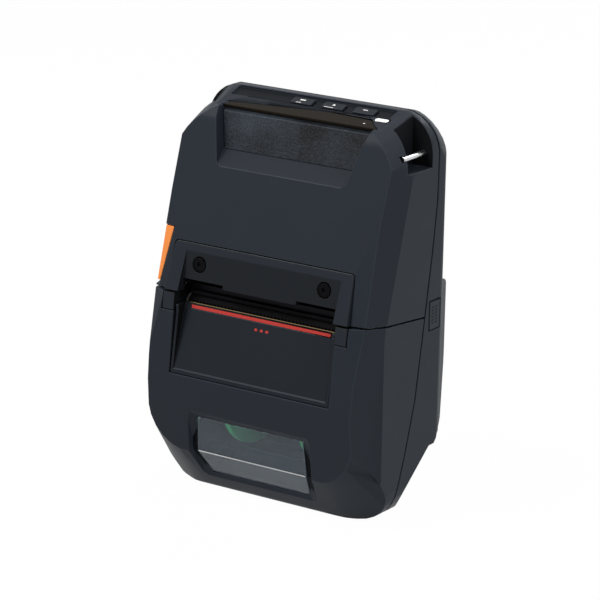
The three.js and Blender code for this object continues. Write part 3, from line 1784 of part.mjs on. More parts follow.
// A toothed rack above (1) or below (-1) the pinion, reaching past it from the guide's side.
function guideRack(side, level) {
  const pitch = Math.PI * rackModule;
  const line = rackPitch();
  const tip = line - rackModule * toothHeightShare;
  const root = line + rackModule * toothDepthShare;
  const back = root + rackThickness;
  const turn = Math.PI / rackPinionTeeth;
  const quarter = Math.PI / 2;
  const step = (2 * Math.PI) / rackPinionTeeth;
  const phase = (quarter * level - turn) / step;
  const offset = (phase - Math.floor(phase) - 1 / 2) * pitch * level;
  const far = -side * rackReach;
  const near = side * guideFar;
  const [from, to] = [Math.min(far, near), Math.max(far, near)];
  const first = Math.ceil((from - offset) / pitch + 1);
  const last = Math.floor((to - offset) / pitch - 1);
  const teeth = Array.from({ length: last - first + 1 }, (_, k) => {
    const middle = offset + (first + k) * pitch;
    return [
      [middle - (toothRootShare * pitch) / 2, root],
      [middle - (toothTipShare * pitch) / 2, tip],
      [middle + (toothTipShare * pitch) / 2, tip],
      [middle + (toothRootShare * pitch) / 2, root],
    ];
  }).flat();
  const outline = [[from, root], ...teeth, [to, root], [to, back], [from, back]];
  return alongY(outline.map(([x, z]) => [x, rackPinionHeight + level * z]), rackFront, rackBack);
}

function rollGuide(side) {
  const level = side < 0 ? 1 : -1;
  const centre = [rollDepth, rollHeight];
  const root = rackPitch() + rackModule * toothDepthShare;
  const inner = rackPinionHeight + level * root;
  const outer = inner + level * rackThickness;
  const [from, to] = span(side, guideNear, guideFar);
  const disc = rod(...centre, guideRadius, from, to, 2 * gearSteps);
  const neck = alongX([
    ...guideNeckLow,
    [guideNeckBack, guideNeckStart],
    [guideNeckBack, Math.max(inner, outer)],
    [guideNeckFront, Math.max(inner, outer)],
    [guideNeckFront, guideNeckStart],
  ], from, to);
  const foot = block(
    [from, guideNeckFront, Math.min(inner, outer)],
    [to, rackBack, Math.max(inner, outer)],
  );
  const hubSpan = span(side, guideNear - guideHubLength, guideNear + cutOver);
  const hub = rod(...centre, guideHubRadius, hubSpan[0], hubSpan[1]);
  let body = joined([disc, neck, foot, hub, guideRack(side, level)]);
  for (let k = 0; k < guideWindows; k += 1) {
    const angle = Math.PI + (2 * Math.PI * k) / guideWindows;
    const place = [
      rollDepth + guideWindowPlace * Math.cos(angle),
      rollHeight + guideWindowPlace * Math.sin(angle),
    ];
    body = body.subtract(rod(...place, guideWindowRadius, from - cutOver, to + cutOver, postSteps));
  }
  return body.subtract(rod(...centre, guideHubRadius - bayThickness, -halfWidth, halfWidth));
}

function batteryPack() {
  const rise = packTop - packBottom;
  const depth = backDepth - packFront;
  const most = Math.asin(depth / rise);
  const arc = Array.from({ length: packArcSteps + 1 }, (_, k) => {
    const angle = (most * k) / packArcSteps;
    return [backDepth - rise * Math.sin(angle), packBottom + rise * Math.cos(angle)];
  });
  const body = alongX([...arc, [packFront, packBottom], [backDepth, packBottom]], -packHalf, packHalf);
  const grip = block(
    [-packGripHalf, backDepth - packGripSink, packTop - 2 * packGripHeight],
    [packGripHalf, backDepth + cutOver, packTop - packGripHeight],
  );
  return body.subtract(grip);
}

function batteryLatch() {
  const face = backDepth - packLatchFace;
  const inside = backDepth - wall - seatGap;
  const high = [packLatchHalf, face, packLatchTop];
  const button = block([-packLatchHalf, packLatchFlangeFront, packLatchBottom], high);
  const flange = block(
    [-packLatchFlangeHalf, packLatchFlangeFront, packLatchFlangeBottom],
    [packLatchFlangeHalf, inside, packLatchTop],
  );
  const under = block(
    [-packLatchFlangeHalf, 0, 0],
    [packLatchFlangeHalf, packLatchFlangeFront + cutOver + seatGap, packLatchFlangeBottom],
  );
  return button.subtract(under).add(flange);
}

function batteryContacts() {
  return block([-contactHalf, contactFront, contactBottom], [contactHalf, packFront - packGap, contactTop]);
}

function mainBoard() {
  const boardBack = boardFront + boardThickness;
  const board = block([-boardHalf, boardFront, boardBottom], [boardHalf, boardBack, boardTop]);
  const chips = chipPlaces.map(([x, z, half]) => block(
    [x - half, boardFront - chipThickness, z - half],
    [x + half, boardFront + boardThickness / 2, z + half],
  ));
  return joined([board, ...chips]);
}

function flapForm(grow, out) {
  return block(
    [halfWidth - flapThickness - grow - out, flapFront - grow, flapBottom - grow],
    [halfWidth + out, flapBack + grow, flapTop + grow],
  );
}

function portSocket() {
  const tube = rounded([
    [socketFront, socketBottom, socketCorner],
    [socketBack, socketBottom, socketCorner],
    [socketBack, socketTop, socketCorner],
    [socketFront, socketTop, socketCorner],
  ]);
  const hollow = rounded(inset([
    [socketFront, socketBottom, socketCorner],
    [socketBack, socketBottom, socketCorner],
    [socketBack, socketTop, socketCorner],
    [socketFront, socketTop, socketCorner],
  ], socketWall));
  const middle = (socketFront + socketBack) / 2;
  const tongue = block(
    [socketNear, middle - socketTongue / 2, socketBottom + 2 * socketWall],
    [socketFar - cutOver, middle + socketTongue / 2, socketTop - 2 * socketWall],
  );
  const inside = socketNear + portBoardThickness;
  const board = block([socketNear, portBoardFront, portBoardBottom], [inside, portBoardBack, portBoardTop]);
  const shell = alongX(tube, socketNear, socketFar).subtract(alongX(hollow, inside, socketFar + cutOver));
  return joined([board, shell, tongue]);
}

function displayModule() {
  return blockIn(
    deckFrame,
    [-displayHalf, lensFront + lensLedge, -displayDrop - displayThickness],
    [displayHalf, lensBack, -displayDrop],
  );
}

function keypadPlate() {
  return blockIn(
    deckFrame,
    [-keypadHalf, keyZoneFront, -keypadTop - keypadThickness],
    [keypadHalf, keyZoneBack, -keypadTop],
  );
}

piece("back_shell", backShell(), caseFinish);
piece("front_shell", frontShell(), caseFinish);
piece("head_bezel", headBezel(), frameFinish);
sides.forEach(([name, side]) => piece(`bezel_screw_${name}`, bezelScrew(side), steelFinish));
piece("grip_panel", gripPanel(), frameFinish);
piece("display_lens", lensForm(0, 0), glossFinish);
piece("display_module", displayModule(), frameFinish);
piece("keypad_plate", keypadPlate(), rubberFinish);
Object.entries(keyPlaces).forEach(([name, place]) => piece(`key_${name}`, keyBlock(place, 0, 0), keyFinish));
piece("power_key", powerKeyForm(0, 0), gearFinish);
sides.forEach(([name, side]) => piece(`strap_pin_${name}`, strapPin(side), steelFinish));
piece("main_board", mainBoard(), boardFinish);
piece("battery_pack", batteryPack(), frameFinish);
piece("battery_latch", batteryLatch(), keyFinish);
piece("battery_contacts", batteryContacts(), frameFinish);
piece("port_flap", flapForm(0, 0), caseFinish);
piece("port_socket", portSocket(), steelFinish);
piece("mechanism_frame", mechanismFrame(), frameFinish);
piece("feed_motor", feedMotor(), steelFinish);
piece("motor_pinion", motorPinion(), gearFinish);
piece("idler_gear", gearBody(idler, idlerTeeth, idlerTurn(), idlerStudRadius + runningGap), gearFinish);
piece("print_head", printHead(), glossFinish);
piece("heat_sink", heatSink(), steelFinish);
sides.forEach(([name, side]) => piece(`head_spring_${name}`, headSpring(side), steelFinish));
piece("latch_shaft", latchShaft(), steelFinish);
sides.forEach(([name, side]) => piece(`latch_hook_${name}`, latchHook(side), steelFinish));
piece("release_lever", releaseLever(), leverFinish);
piece("cover_shell", coverShell(), caseFinish);
piece("cover_frame", coverFrame(), frameFinish);
piece("ramp_panel", rampPanel(), frameFinish);
piece("warning_stripe", stripeForm(0), finish(0xd8342c, 0.5));
piece("tear_bar", tearBar(), finish(0x8a7a5c, 0.35, 1));
piece("paper_window", paperWindow(), glossFinish);
sides.forEach(([name, side]) => piece(`hinge_pin_${name}`, hingePin(side), steelFinish));
sides.forEach(([name, side]) => piece(`roller_bearing_${name}`, rollerBearing(side), gearFinish));
piece("platen_shaft", platenShaft(), steelFinish);
piece("platen_sleeve", platenSleeve(), rubberFinish);
piece("platen_gear", gearBody(platen, platenTeeth, exitAngle, platenShaftRadius + seatGap), gearFinish);
piece("roll_bay_frame", rollBayFrame(), frameFinish);
piece("guide_pinion", guidePinion(), gearFinish);
sides.forEach(([name, side]) => piece(`roll_guide_${name}`, rollGuide(side), guideFinish));

export default group;
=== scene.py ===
"""The looks of a portable receipt printer: softened shells, finishes and the studio stage."""

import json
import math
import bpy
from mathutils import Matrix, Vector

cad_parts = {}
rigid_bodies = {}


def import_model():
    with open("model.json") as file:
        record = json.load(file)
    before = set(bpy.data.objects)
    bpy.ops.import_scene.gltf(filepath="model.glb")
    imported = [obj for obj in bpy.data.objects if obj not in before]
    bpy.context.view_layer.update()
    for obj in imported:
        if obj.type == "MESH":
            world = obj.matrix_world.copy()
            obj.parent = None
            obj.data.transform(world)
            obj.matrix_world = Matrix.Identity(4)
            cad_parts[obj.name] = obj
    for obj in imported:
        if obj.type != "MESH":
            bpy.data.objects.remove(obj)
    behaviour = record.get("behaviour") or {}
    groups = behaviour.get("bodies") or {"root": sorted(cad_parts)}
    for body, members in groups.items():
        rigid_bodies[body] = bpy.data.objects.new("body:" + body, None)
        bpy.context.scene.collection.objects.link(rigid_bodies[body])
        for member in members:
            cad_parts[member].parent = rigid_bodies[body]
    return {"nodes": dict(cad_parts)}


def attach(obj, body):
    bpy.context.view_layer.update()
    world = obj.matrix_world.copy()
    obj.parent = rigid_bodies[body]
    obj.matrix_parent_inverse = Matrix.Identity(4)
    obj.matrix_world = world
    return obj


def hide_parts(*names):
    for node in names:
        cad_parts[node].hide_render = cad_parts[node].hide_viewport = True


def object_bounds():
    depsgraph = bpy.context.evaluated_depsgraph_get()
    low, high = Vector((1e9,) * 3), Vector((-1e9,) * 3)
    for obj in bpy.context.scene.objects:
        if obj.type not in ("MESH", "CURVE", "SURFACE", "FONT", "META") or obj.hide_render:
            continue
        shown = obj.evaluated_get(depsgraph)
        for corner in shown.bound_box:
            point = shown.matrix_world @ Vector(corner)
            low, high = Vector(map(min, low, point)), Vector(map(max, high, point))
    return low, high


bl_info = {
    "name": "Receipt Printer Looks",
    "version": (1, 0, 0),
    "blender": (4, 5, 0),
    "location": "View3D > Sidebar > Printer",
    "description": "Dresses a faceted portable receipt printer and sets its studio stage",
    "category": "Object",
}

import bmesh
import bpy
from bpy.props import FloatProperty, FloatVectorProperty, IntProperty, PointerProperty
from mathutils import Matrix, Vector
from mathutils.bvhtree import BVHTree
from mathutils.kdtree import KDTree

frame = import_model()
cad_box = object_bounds()

MM = 0.001
SIDES = ("left", "right")

# Places in millimetres: depth behind the mouth's front plane, and height above the base.
MOUTH_DEPTH = 31.4
PLATEN = (14.0, 82.0)
DECK = (30.8, 168.2)
DECK_RISE = 0.4
RAMP = ((5.4, 84.6), (-3.0, 56.7))
RAMP_LENGTH = 29.1

# Half width, depth and height of the window's three cross lines.
WINDOW_ROWS = ((25.4, 7.75, 9.35), (28.55, -0.06, 20.3), (27.7, -1.79, 36.35))

# Corners nearer than this, in metres, are one.
WELD = 0.00004

# Angles between two faces, in degrees: joined below the first, bevelled above the second,
# shaded as one broad face below the third, and a narrow face turns with others below the fourth.
FLAT_TURN = 0.2
SHARP_TURN = 28.0
GENTLE_TURN = 13.0
BLEND_TURN = 55.0

# How far a bevel's point may go from its corner and from the old surface, in rim widths.
BEVEL_REACH = 2.6
BEVEL_LIFT = 0.6

# A face is broad above this share of the largest one, and above this area in square metres.
BROAD_SHARE = 0.012
LEAST_BROAD = 1.2e-6

# Thickness of the marks that lie on a face, in metres.
PAINT = 0.00006
LINE = 0.00004
GILT = 0.00003


class PrinterSizes(bpy.types.PropertyGroup):
    """Sizes of the edges and of the small repeated features."""

    rim: FloatProperty(
        name="Rim width", description="Softening of a sharp moulded edge",
        default=0.0003, min=0.00005, unit="LENGTH")
    roller_steps: IntProperty(
        name="Roller steps", description="Steps round a turned part", default=72, min=16)
    dot_pitch: FloatProperty(
        name="Dot pitch", description="Step between the red marks under the stripe",
        default=0.0029, unit="LENGTH")


def colour_property(name, description, value):
    """A colour that the panel shows, as linear values."""
    return FloatVectorProperty(
        name=name, description=description, subtype="COLOR", size=3, min=0, max=1, default=value)


class PrinterColours(bpy.types.PropertyGroup):
    """Colours of the plastics."""

    case: colour_property("Case", "Charcoal of the shells", (0.0150, 0.0193, 0.0262))
    frame: colour_property("Inner frame", "Black of the inner mouldings", (0.0035, 0.0042, 0.0056))
    stripe: colour_property("Stripe", "Red of the stripe and its marks", (0.42, 0.035, 0.028))
    lever: colour_property("Lever", "Orange of the release lever", (0.80, 0.25, 0.055))
    guide: colour_property("Guides", "Green of the roll guides", (0.07, 0.60, 0.17))
    # The marks' white also colours the painted highlight on the window's fold.
    white: colour_property("Marks", "White of the key marks", (0.78, 0.78, 0.76))


class StageSettings(bpy.types.PropertyGroup):
    """Where the camera stands, and how the studio lights it."""

    camera_place: FloatVectorProperty(
        name="Camera place", description="Where the camera stands", subtype="TRANSLATION", size=3,
        default=(0.7064, -1.0320, 0.4477))
    azimuth: FloatProperty(
        name="Azimuth", description="Turn of the view round the printer", subtype="ANGLE",
        default=math.radians(34.3))
    elevation: FloatProperty(
        name="Elevation", description="How far the view looks down", subtype="ANGLE",
        default=math.radians(16.1))
    roll: FloatProperty(
        name="Roll", description="Lean of the picture", subtype="ANGLE", default=math.radians(1.04))
    lens: FloatProperty(
        name="Lens", description="Focal length on a 36 mm sensor", default=180.0, min=1.0)
    key_power: FloatProperty(
        name="Key power", description="Power of the large soft light from above left", default=26.0)
    side_power: FloatProperty(
        name="Side power", description="Power of the soft light on the right side", default=9.0)
    back_power: FloatProperty(
        name="Back power", description="Power of the soft light behind and above", default=11.0)
    room: FloatProperty(
        name="Room light", description="Strength of the room's own light", default=0.13)
    paleness: FloatProperty(
        name="Floor paleness", description="How much of the floor reads as plain white",
        default=0.98, min=0.0, max=1.0, subtype="FACTOR")


# ---------------------------------------------------------------- places and meshes


def at(x, depth, height):
    """A place measured in millimetres from the middle, the mouth's front plane and the base."""
    return Vector((x, depth - MOUTH_DEPTH, height)) * MM


def on_deck(x, along, up):
    """A place on the sloping key deck, in millimetres across, along and above it."""
    lean = math.atan(DECK_RISE)
    depth = DECK[0] + along * math.cos(lean) - up * math.sin(lean)
    height = DECK[1] + along * math.sin(lean) + up * math.cos(lean)
    return at(x, depth, height)


def on_ramp(x, share, out):
    """A place on the paper ramp: share 0 is its top edge, 1 its foot, and out is above its face."""
    top, foot = RAMP
    down = Vector((foot[0] - top[0], foot[1] - top[1]))
    face = Vector((down.y, -down.x)).normalized()
    depth = top[0] + down.x * share + face.x * out
    height = top[1] + down.y * share + face.y * out
    return at(x, depth, height)


def deck_up():
    """The direction straight up from the key deck."""
    return (on_deck(0, 0, 1) - on_deck(0, 0, 0)).normalized()


def body_of_node(node):
    """The name of the body that a plain node rides on."""
    return frame["nodes"][node].parent.name.split(":", 1)[1]


def set_piece(name, mesh, finish, body, *nodes):
    """Puts a finished mesh into the scene, on its body, in place of the plain nodes."""
    mesh.name = name
    piece = bpy.data.objects.new(name, mesh)
    bpy.context.scene.collection.objects.link(piece)
    mesh.materials.clear()
    mesh.materials.append(finish)
    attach(piece, body)
    if nodes:
        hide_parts(*nodes)
    return piece


def merged_copy(node):
    """The node's mesh with its triangles joined into flat faces."""
    work = bmesh.new()
    work.from_mesh(frame["nodes"][node].data)
    bmesh.ops.remove_doubles(work, verts=work.verts, dist=WELD)
    bmesh.ops.dissolve_degenerate(work, dist=WELD, edges=work.edges)
    bmesh.ops.dissolve_limit(
        work, angle_limit=math.radians(FLAT_TURN), verts=work.verts, edges=work.edges,
        use_dissolve_boundaries=False)
    return work


def skin_of(node):
    """The node's surface, ready to be hit by rays."""
    work = merged_copy(node)
    skin = BVHTree.FromBMesh(work)
    work.free()
    return skin


def soften(work, rim):
    """Bevels the sharp edges, marks them, and keeps each new point near its corner."""
    # The bevel faces, which the finish lightens with wear and a painted highlight along the rims.
    bevel_mask = work.loops.layers.float.new("edge")
    skin = BVHTree.FromBMesh(work)
    corners = KDTree(len(work.verts))
    for vert in work.verts:
        corners.insert(vert.co, vert.index)
    corners.balance()
    limit = math.radians(SHARP_TURN)
    sharp = [
        edge for edge in work.edges
        if len(edge.link_faces) == 2 and abs(edge.calc_face_angle(0.0)) > limit
    ]
    if not sharp:
        return
    made = bmesh.ops.bevel(
        work, geom=sharp, offset=rim, offset_type="OFFSET", segments=2,
        profile=0.5, affect="EDGES", clamp_overlap=False)
    for face in made["faces"]:
        if not face.is_valid:
            continue
        for loop in face.loops:
            loop[bevel_mask] = 1.0
            vert = loop.vert
            corner, _, away = corners.find(vert.co)
            if away > BEVEL_REACH * rim:
                vert.co = corner + (vert.co - corner) * (BEVEL_REACH * rim / away)
            near, _, _, gap = skin.find_nearest(vert.co)
            if gap is not None and gap > BEVEL_LIFT * rim:
                vert.co = near
            vert.co = [min(max(v, low), high) for v, low, high in zip(vert.co, *cad_box)]


def shaded(name, work):
    """A plain mesh: broad faces blend only with near-flat ones, and narrow ones turn smoothly."""
    work.normal_update()
    size = {face.index: face.calc_area() for face in work.faces}
    broad = max(max(size.values()) * BROAD_SHARE, LEAST_BROAD)
    limit = math.cos(math.radians(BLEND_TURN))
    gentle = math.cos(math.radians(GENTLE_TURN))
    normals = []
    for face in work.faces:
        for loop in face.loops:
            if size[face.index] > broad:
                blend = Vector()
                for other in loop.vert.link_faces:
                    if size[other.index] > broad and other.normal.dot(face.normal) > gentle:
                        blend += other.normal * size[other.index]
                normals.append(tuple(blend.normalized() if blend.length > 0 else face.normal))
                continue
            total = Vector()
            best = 0.0
            for other in loop.vert.link_faces:
                if other.normal.dot(face.normal) < limit:
                    continue
                area = size[other.index]
                if area > broad and area > best:
                    best = area
                    total = other.normal.copy()
                elif not best:
                    total += other.normal * area
            normals.append(tuple(total.normalized() if total.length > 0 else face.normal))
    mesh = bpy.data.meshes.new(name)
    work.to_mesh(mesh)
    work.free()
    mesh.shade_smooth()
    mesh.normals_split_custom_set(normals)
    holder = bpy.data.objects.new(name + "_work", mesh)
    bpy.context.scene.collection.objects.link(holder)
    cut = holder.modifiers.new("triangles", "TRIANGULATE")
    cut.keep_custom_normals = True
    return plain_mesh(holder)


def plain_mesh(holder):
    """The evaluated object as a plain mesh, with the working object taken away."""
    bpy.context.view_layer.update()
    graph = bpy.context.evaluated_depsgraph_get()
    mesh = bpy.data.meshes.new_from_object(
        holder.evaluated_get(graph), preserve_all_data_layers=True, depsgraph=graph)
    bpy.data.objects.remove(holder)
    return mesh


def in_mm(face):
    """The middle of a face in millimetres: across, behind the mouth's plane and above the base."""
    middle = face.calc_center_median() / MM
    return middle.x, middle.y + MOUTH_DEPTH, middle.z


def sink(work, shade_of):
    """Marks for the finish how much painted shade each face gets, from 0 to 1, by how it lies in a
    recess.
    """
    work.normal_update()
    sunk = work.loops.layers.float.new("sunk")
    for face in work.faces:
        share = shade_of(face)
        for loop in face.loops:
            loop[sunk] = share


def dress(node, finish, rim=None, shade_of=None):
    """Replaces a node by a copy with softened edges and its own finish."""
    sizes = bpy.context.scene.printer_sizes
    work = merged_copy(node)
    soften(work, sizes.rim if rim is None else rim)
    # Painted shade goes on the faces in recesses when the step gives a mask for it.
    if shade_of:
        sink(work, shade_of)
    return set_piece(
        node + "_form", shaded(node, work), finish_of(finish), body_of_node(node), node)


def add_piece(name, work, finish, node, *nodes):
    """Sets down a piece made here, with the body of the node that it belongs to."""
    return set_piece(name, shaded(name, work), finish_of(finish), body_of_node(node), *nodes)


def turned(rings, centre, steps):
    """A turned solid along X: rings are (x, radius) in millimetres about a depth and height."""
    work = bmesh.new()
    loops = []
    for x, radius in rings:
        loops.append([
            work.verts.new(at(
                x,
                centre[0] + radius * math.sin(2 * math.pi * k / steps),
                centre[1] + radius * math.cos(2 * math.pi * k / steps)))
            for k in range(steps)
        ])
    for first, second in zip(loops, loops[1:]):
        for k in range(steps):
            n = (k + 1) % steps
            work.faces.new((first[k], first[n], second[n], second[k]))
    work.faces.new(loops[0])
    work.faces.new(loops[-1])
    bmesh.ops.recalc_face_normals(work, faces=work.faces)
    return work


def slab(corners, thickness, push):
    """A thin plate on three or more corner places, lifted along push."""
    work = bmesh.new()
    low = [work.verts.new(corner) for corner in corners]
    high = [work.verts.new(corner + push * thickness) for corner in corners]
    work.faces.new(low)
    work.faces.new(high)
    for k in range(len(corners)):
        n = (k + 1) % len(corners)
        work.faces.new((low[k], low[n], high[n], high[k]))
    bmesh.ops.recalc_face_normals(work, faces=work.faces)
    return work


# ---------------------------------------------------------------- repeated features


def row_tree():
    """Geometry nodes that set a unit out in an even row, as a plain mesh with its finish."""
    if "even_row" in bpy.data.node_groups:
        return bpy.data.node_groups["even_row"]
    tree = bpy.data.node_groups.new("even_row", "GeometryNodeTree")
    for label, kind in (("Geometry", "Geometry"), ("Unit", "Object"), ("Count", "Int"),
                        ("Start", "Vector"), ("Step", "Vector"), ("Finish", "Material")):
        tree.interface.new_socket(label, in_out="INPUT", socket_type="NodeSocket" + kind)
    tree.interface.new_socket("Geometry", in_out="OUTPUT", socket_type="NodeSocketGeometry")
    given, unit, line, spread, real, coat, out = (tree.nodes.new(kind) for kind in (
        "NodeGroupInput", "GeometryNodeObjectInfo", "GeometryNodeMeshLine",
        "GeometryNodeInstanceOnPoints", "GeometryNodeRealizeInstances",
        "GeometryNodeSetMaterial", "NodeGroupOutput"))
    line.mode = "OFFSET"
    for source, result, target, socket in (
            (given, "Unit", unit, "Object"),
            (given, "Count", line, "Count"),
            (given, "Start", line, "Start Location"),
            (given, "Step", line, "Offset"),
            (line, "Mesh", spread, "Points"),
            (unit, "Geometry", spread, "Instance"),
            (spread, "Instances", real, "Geometry"),
            (real, "Geometry", coat, "Geometry"),
            (given, "Finish", coat, "Material"),
            (coat, "Geometry", out, "Geometry")):
        tree.links.new(source.outputs[result], target.inputs[socket])
    return tree


def grow(name, unit_work, finish, node, **values):
    """Sets one small mesh out in a row, and puts it down as a plain piece on the node's body."""
    unit_mesh = bpy.data.meshes.new(name + "_unit")
    unit_work.to_mesh(unit_mesh)
    unit_work.free()
    unit = bpy.data.objects.new(name + "_unit", unit_mesh)
    holder = bpy.data.objects.new(name + "_work", bpy.data.meshes.new(name + "_work"))
    scene = bpy.context.scene.collection.objects
    scene.link(unit)
    scene.link(holder)
    made = holder.modifiers.new("grow", "NODES")
    made.node_group = row_tree()
    values = {"Unit": unit, "Finish": finish_of(finish), **values}
    for item in made.node_group.interface.items_tree:
        if item.in_out == "INPUT" and item.name in values:
            made[item.identifier] = values[item.name]
    mesh = plain_mesh(holder)
    bpy.data.objects.remove(unit)
    if not mesh.polygons:
        raise RuntimeError(name + " came out empty")
    work = bmesh.new()
    work.from_mesh(mesh)
    return add_piece(name, work, finish, node)


# ---------------------------------------------------------------- finishes


# What both skin groups put out, and the streaks of a metal that is drawn along X.
SKIN_OUTPUTS = (
    ("Colour", "NodeSocketColor"), ("Roughness", "NodeSocketFloat"), ("Height", "NodeSocketFloat"))
ALONG_X = (400.0, 6000.0, 6000.0)


def group_tree(name, inputs, outputs):
    """A shader node group with its sockets, and its two end nodes."""
    tree = bpy.data.node_groups.new(name, "ShaderNodeTree")
    for label, kind, value in inputs:
        socket = tree.interface.new_socket(label, in_out="INPUT", socket_type=kind)
        if value is not None:
            socket.default_value = value
    for label, kind in outputs:
        tree.interface.new_socket(label, in_out="OUTPUT", socket_type=kind)
    return tree, tree.nodes.new("NodeGroupInput"), tree.nodes.new("NodeGroupOutput")


def maths(tree, kind, first, second):
    """A maths node on two values or sockets."""
    node = tree.nodes.new("ShaderNodeMath")
    node.operation = kind
    for socket, value in zip(node.inputs, (first, second)):
        if isinstance(value, (int, float)):
            socket.default_value = value
        else:
            tree.links.new(value, socket)
    return node.outputs[0]


def scaled(tree, colour, factor):
    """A colour made brighter or darker by a factor."""
    node = tree.nodes.new("ShaderNodeVectorMath")
    node.operation = "SCALE"
    tree.links.new(colour, node.inputs[0])
    tree.links.new(factor, node.inputs["Scale"])
    return node.outputs[0]


def plastic_skin():
    """Grain, blotches, rims lightened by wear and a painted highlight, and painted shade in
    recesses of a plastic: colour, roughness, height.
    """
    name = "plastic_skin"
    if name in bpy.data.node_groups:
        return bpy.data.node_groups[name]
    tree, given, out = group_tree(
        name,
        [("Place", "NodeSocketVector", None),
         ("Edge", "NodeSocketFloat", 0.0),
         ("Sunk", "NodeSocketFloat", 0.0),
         ("Colour", "NodeSocketColor", (0.02, 0.02, 0.02, 1)),
         ("Roughness", "NodeSocketFloat", 0.45),
         ("Grain Size", "NodeSocketFloat", 0.0004),
         ("Variation", "NodeSocketFloat", 0.12),
         ("Edge Shine", "NodeSocketFloat", 0.3)],
        SKIN_OUTPUTS)
    nodes, links = tree.nodes, tree.links
    pit_scale, grain_share, pit_share = 0.7, 0.6, 0.5
    shade_strength, shade_dulling, edge_gloss, blotch_swing = 0.9, 0.3, 0.08, 0.18

    def step(kind, first, second):
        return maths(tree, kind, first, second)

    per_metre = step("DIVIDE", 1.0, given.outputs["Grain Size"])
    grain = nodes.new("ShaderNodeTexNoise")
    grain.inputs["Detail"].default_value = 3.0
    grain.inputs["Roughness"].default_value = 0.6
    links.new(given.outputs["Place"], grain.inputs["Vector"])
    links.new(per_metre, grain.inputs["Scale"])
    pits = nodes.new("ShaderNodeTexVoronoi")
    pits.feature = "SMOOTH_F1"
    pits.inputs["Smoothness"].default_value = 0.6
    links.new(given.outputs["Place"], pits.inputs["Vector"])
    links.new(step("MULTIPLY", per_metre, pit_scale), pits.inputs["Scale"])
    blotch = nodes.new("ShaderNodeTexNoise")
    blotch.inputs["Scale"].default_value = 45.0
    blotch.inputs["Detail"].default_value = 4.0
    links.new(given.outputs["Place"], blotch.inputs["Vector"])
    links.new(step("ADD", step("MULTIPLY", grain.outputs["Fac"], grain_share),
                   step("MULTIPLY", pits.outputs["Distance"], pit_share)), out.inputs["Height"])
    swing = step("SUBTRACT", blotch.outputs["Fac"], 0.5)
    speck = step("SUBTRACT", grain.outputs["Fac"], 0.5)
    change = step("MULTIPLY", step("ADD", swing, speck), given.outputs["Variation"])
    # Rims lightened by Edge Shine, part wear and part painted highlight; a shine below nothing
    # darkens them into a dark line at the joints instead.
    rim_wear_and_highlight = step("MULTIPLY", given.outputs["Edge"], given.outputs["Edge Shine"])
    # Painted shade: faces marked as lying in a recess are darkened by this share.
    lit = step("SUBTRACT", 1.0, step("MULTIPLY", given.outputs["Sunk"], shade_strength))
    bright = step("MULTIPLY", step("ADD", step("ADD", 1.0, change), rim_wear_and_highlight), lit)
    links.new(scaled(tree, given.outputs["Colour"], bright), out.inputs["Colour"])
    rough = step("ADD", given.outputs["Roughness"], step("MULTIPLY", swing, blotch_swing))
    rough = step("SUBTRACT", rough, step("MULTIPLY", given.outputs["Edge"], edge_gloss))
    rough = step("ADD", rough, step("MULTIPLY", given.outputs["Sunk"], shade_dulling))
    links.new(rough, out.inputs["Roughness"])
    return tree


def metal_skin():
    """Fine drawn streaks of a metal part: colour, roughness and height."""
    name = "metal_skin"
    if name in bpy.data.node_groups:
        return bpy.data.node_groups[name]
    tree, given, out = group_tree(
        name,
        [("Place", "NodeSocketVector", None),
         ("Colour", "NodeSocketColor", (0.6, 0.6, 0.6, 1)),
         ("Roughness", "NodeSocketFloat", 0.3),
         ("Streak", "NodeSocketVector", ALONG_X)],
        SKIN_OUTPUTS)
    nodes, links = tree.nodes, tree.links
    stretch = nodes.new("ShaderNodeVectorMath")
    stretch.operation = "MULTIPLY"
    links.new(given.outputs["Place"], stretch.inputs[0])
    links.new(given.outputs["Streak"], stretch.inputs[1])
    streak = nodes.new("ShaderNodeTexNoise")
    streak.inputs["Scale"].default_value = 1.0
    streak.inputs["Detail"].default_value = 3.0
    links.new(stretch.outputs[0], streak.inputs["Vector"])
    ramp = nodes.new("ShaderNodeMapRange")
    ramp.inputs["To Min"].default_value = 0.82
    ramp.inputs["To Max"].default_value = 1.12
    links.new(streak.outputs["Fac"], ramp.inputs["Value"])
    shade = ramp.outputs["Result"]
    links.new(scaled(tree, given.outputs["Colour"], shade), out.inputs["Colour"])
    links.new(maths(tree, "MULTIPLY", given.outputs["Roughness"], shade), out.inputs["Roughness"])
    links.new(streak.outputs["Fac"], out.inputs["Height"])
    return tree


def blank_finish(name):
    """A material with one plain shader, and the object's own places for its patterns."""
    finish = bpy.data.materials.new(name)
    finish.use_nodes = True
    tree = finish.node_tree
    tree.nodes.clear()
    skin = tree.nodes.new("ShaderNodeBsdfPrincipled")
    out = tree.nodes.new("ShaderNodeOutputMaterial")
    place = tree.nodes.new("ShaderNodeTexCoord")
    tree.links.new(skin.outputs["BSDF"], out.inputs["Surface"])
    return finish, tree, skin, place.outputs["Object"]


def mixed(tree, factor, first, second, out):
    """Shows the first shader where the factor is nothing, and the second where it is one."""
    mix = tree.nodes.new("ShaderNodeMixShader")
    tree.links.new(factor, mix.inputs["Fac"])
    tree.links.new(first.outputs[0], mix.inputs[1])
    tree.links.new(second.outputs[0], mix.inputs[2])
    tree.links.new(mix.outputs[0], out.inputs["Surface"])


def grouped_finish(name, skin_group, depth, strength, **values):
    """A material whose colour, roughness and raised grain come from a node group."""
    finish, tree, skin, place = blank_finish(name)
    group = tree.nodes.new("ShaderNodeGroup")
    group.node_tree = skin_group
    tree.links.new(place, group.inputs["Place"])
    for label, value in values.items():
        group.inputs[label.replace("_", " ")].default_value = value
    tree.links.new(group.outputs["Colour"], skin.inputs["Base Color"])
    tree.links.new(group.outputs["Roughness"], skin.inputs["Roughness"])
    bump = tree.nodes.new("ShaderNodeBump")
    bump.inputs["Distance"].default_value = depth
    bump.inputs["Strength"].default_value = strength
    tree.links.new(group.outputs["Height"], bump.inputs["Height"])
    tree.links.new(bump.outputs["Normal"], skin.inputs["Normal"])
    return finish, tree, skin, group


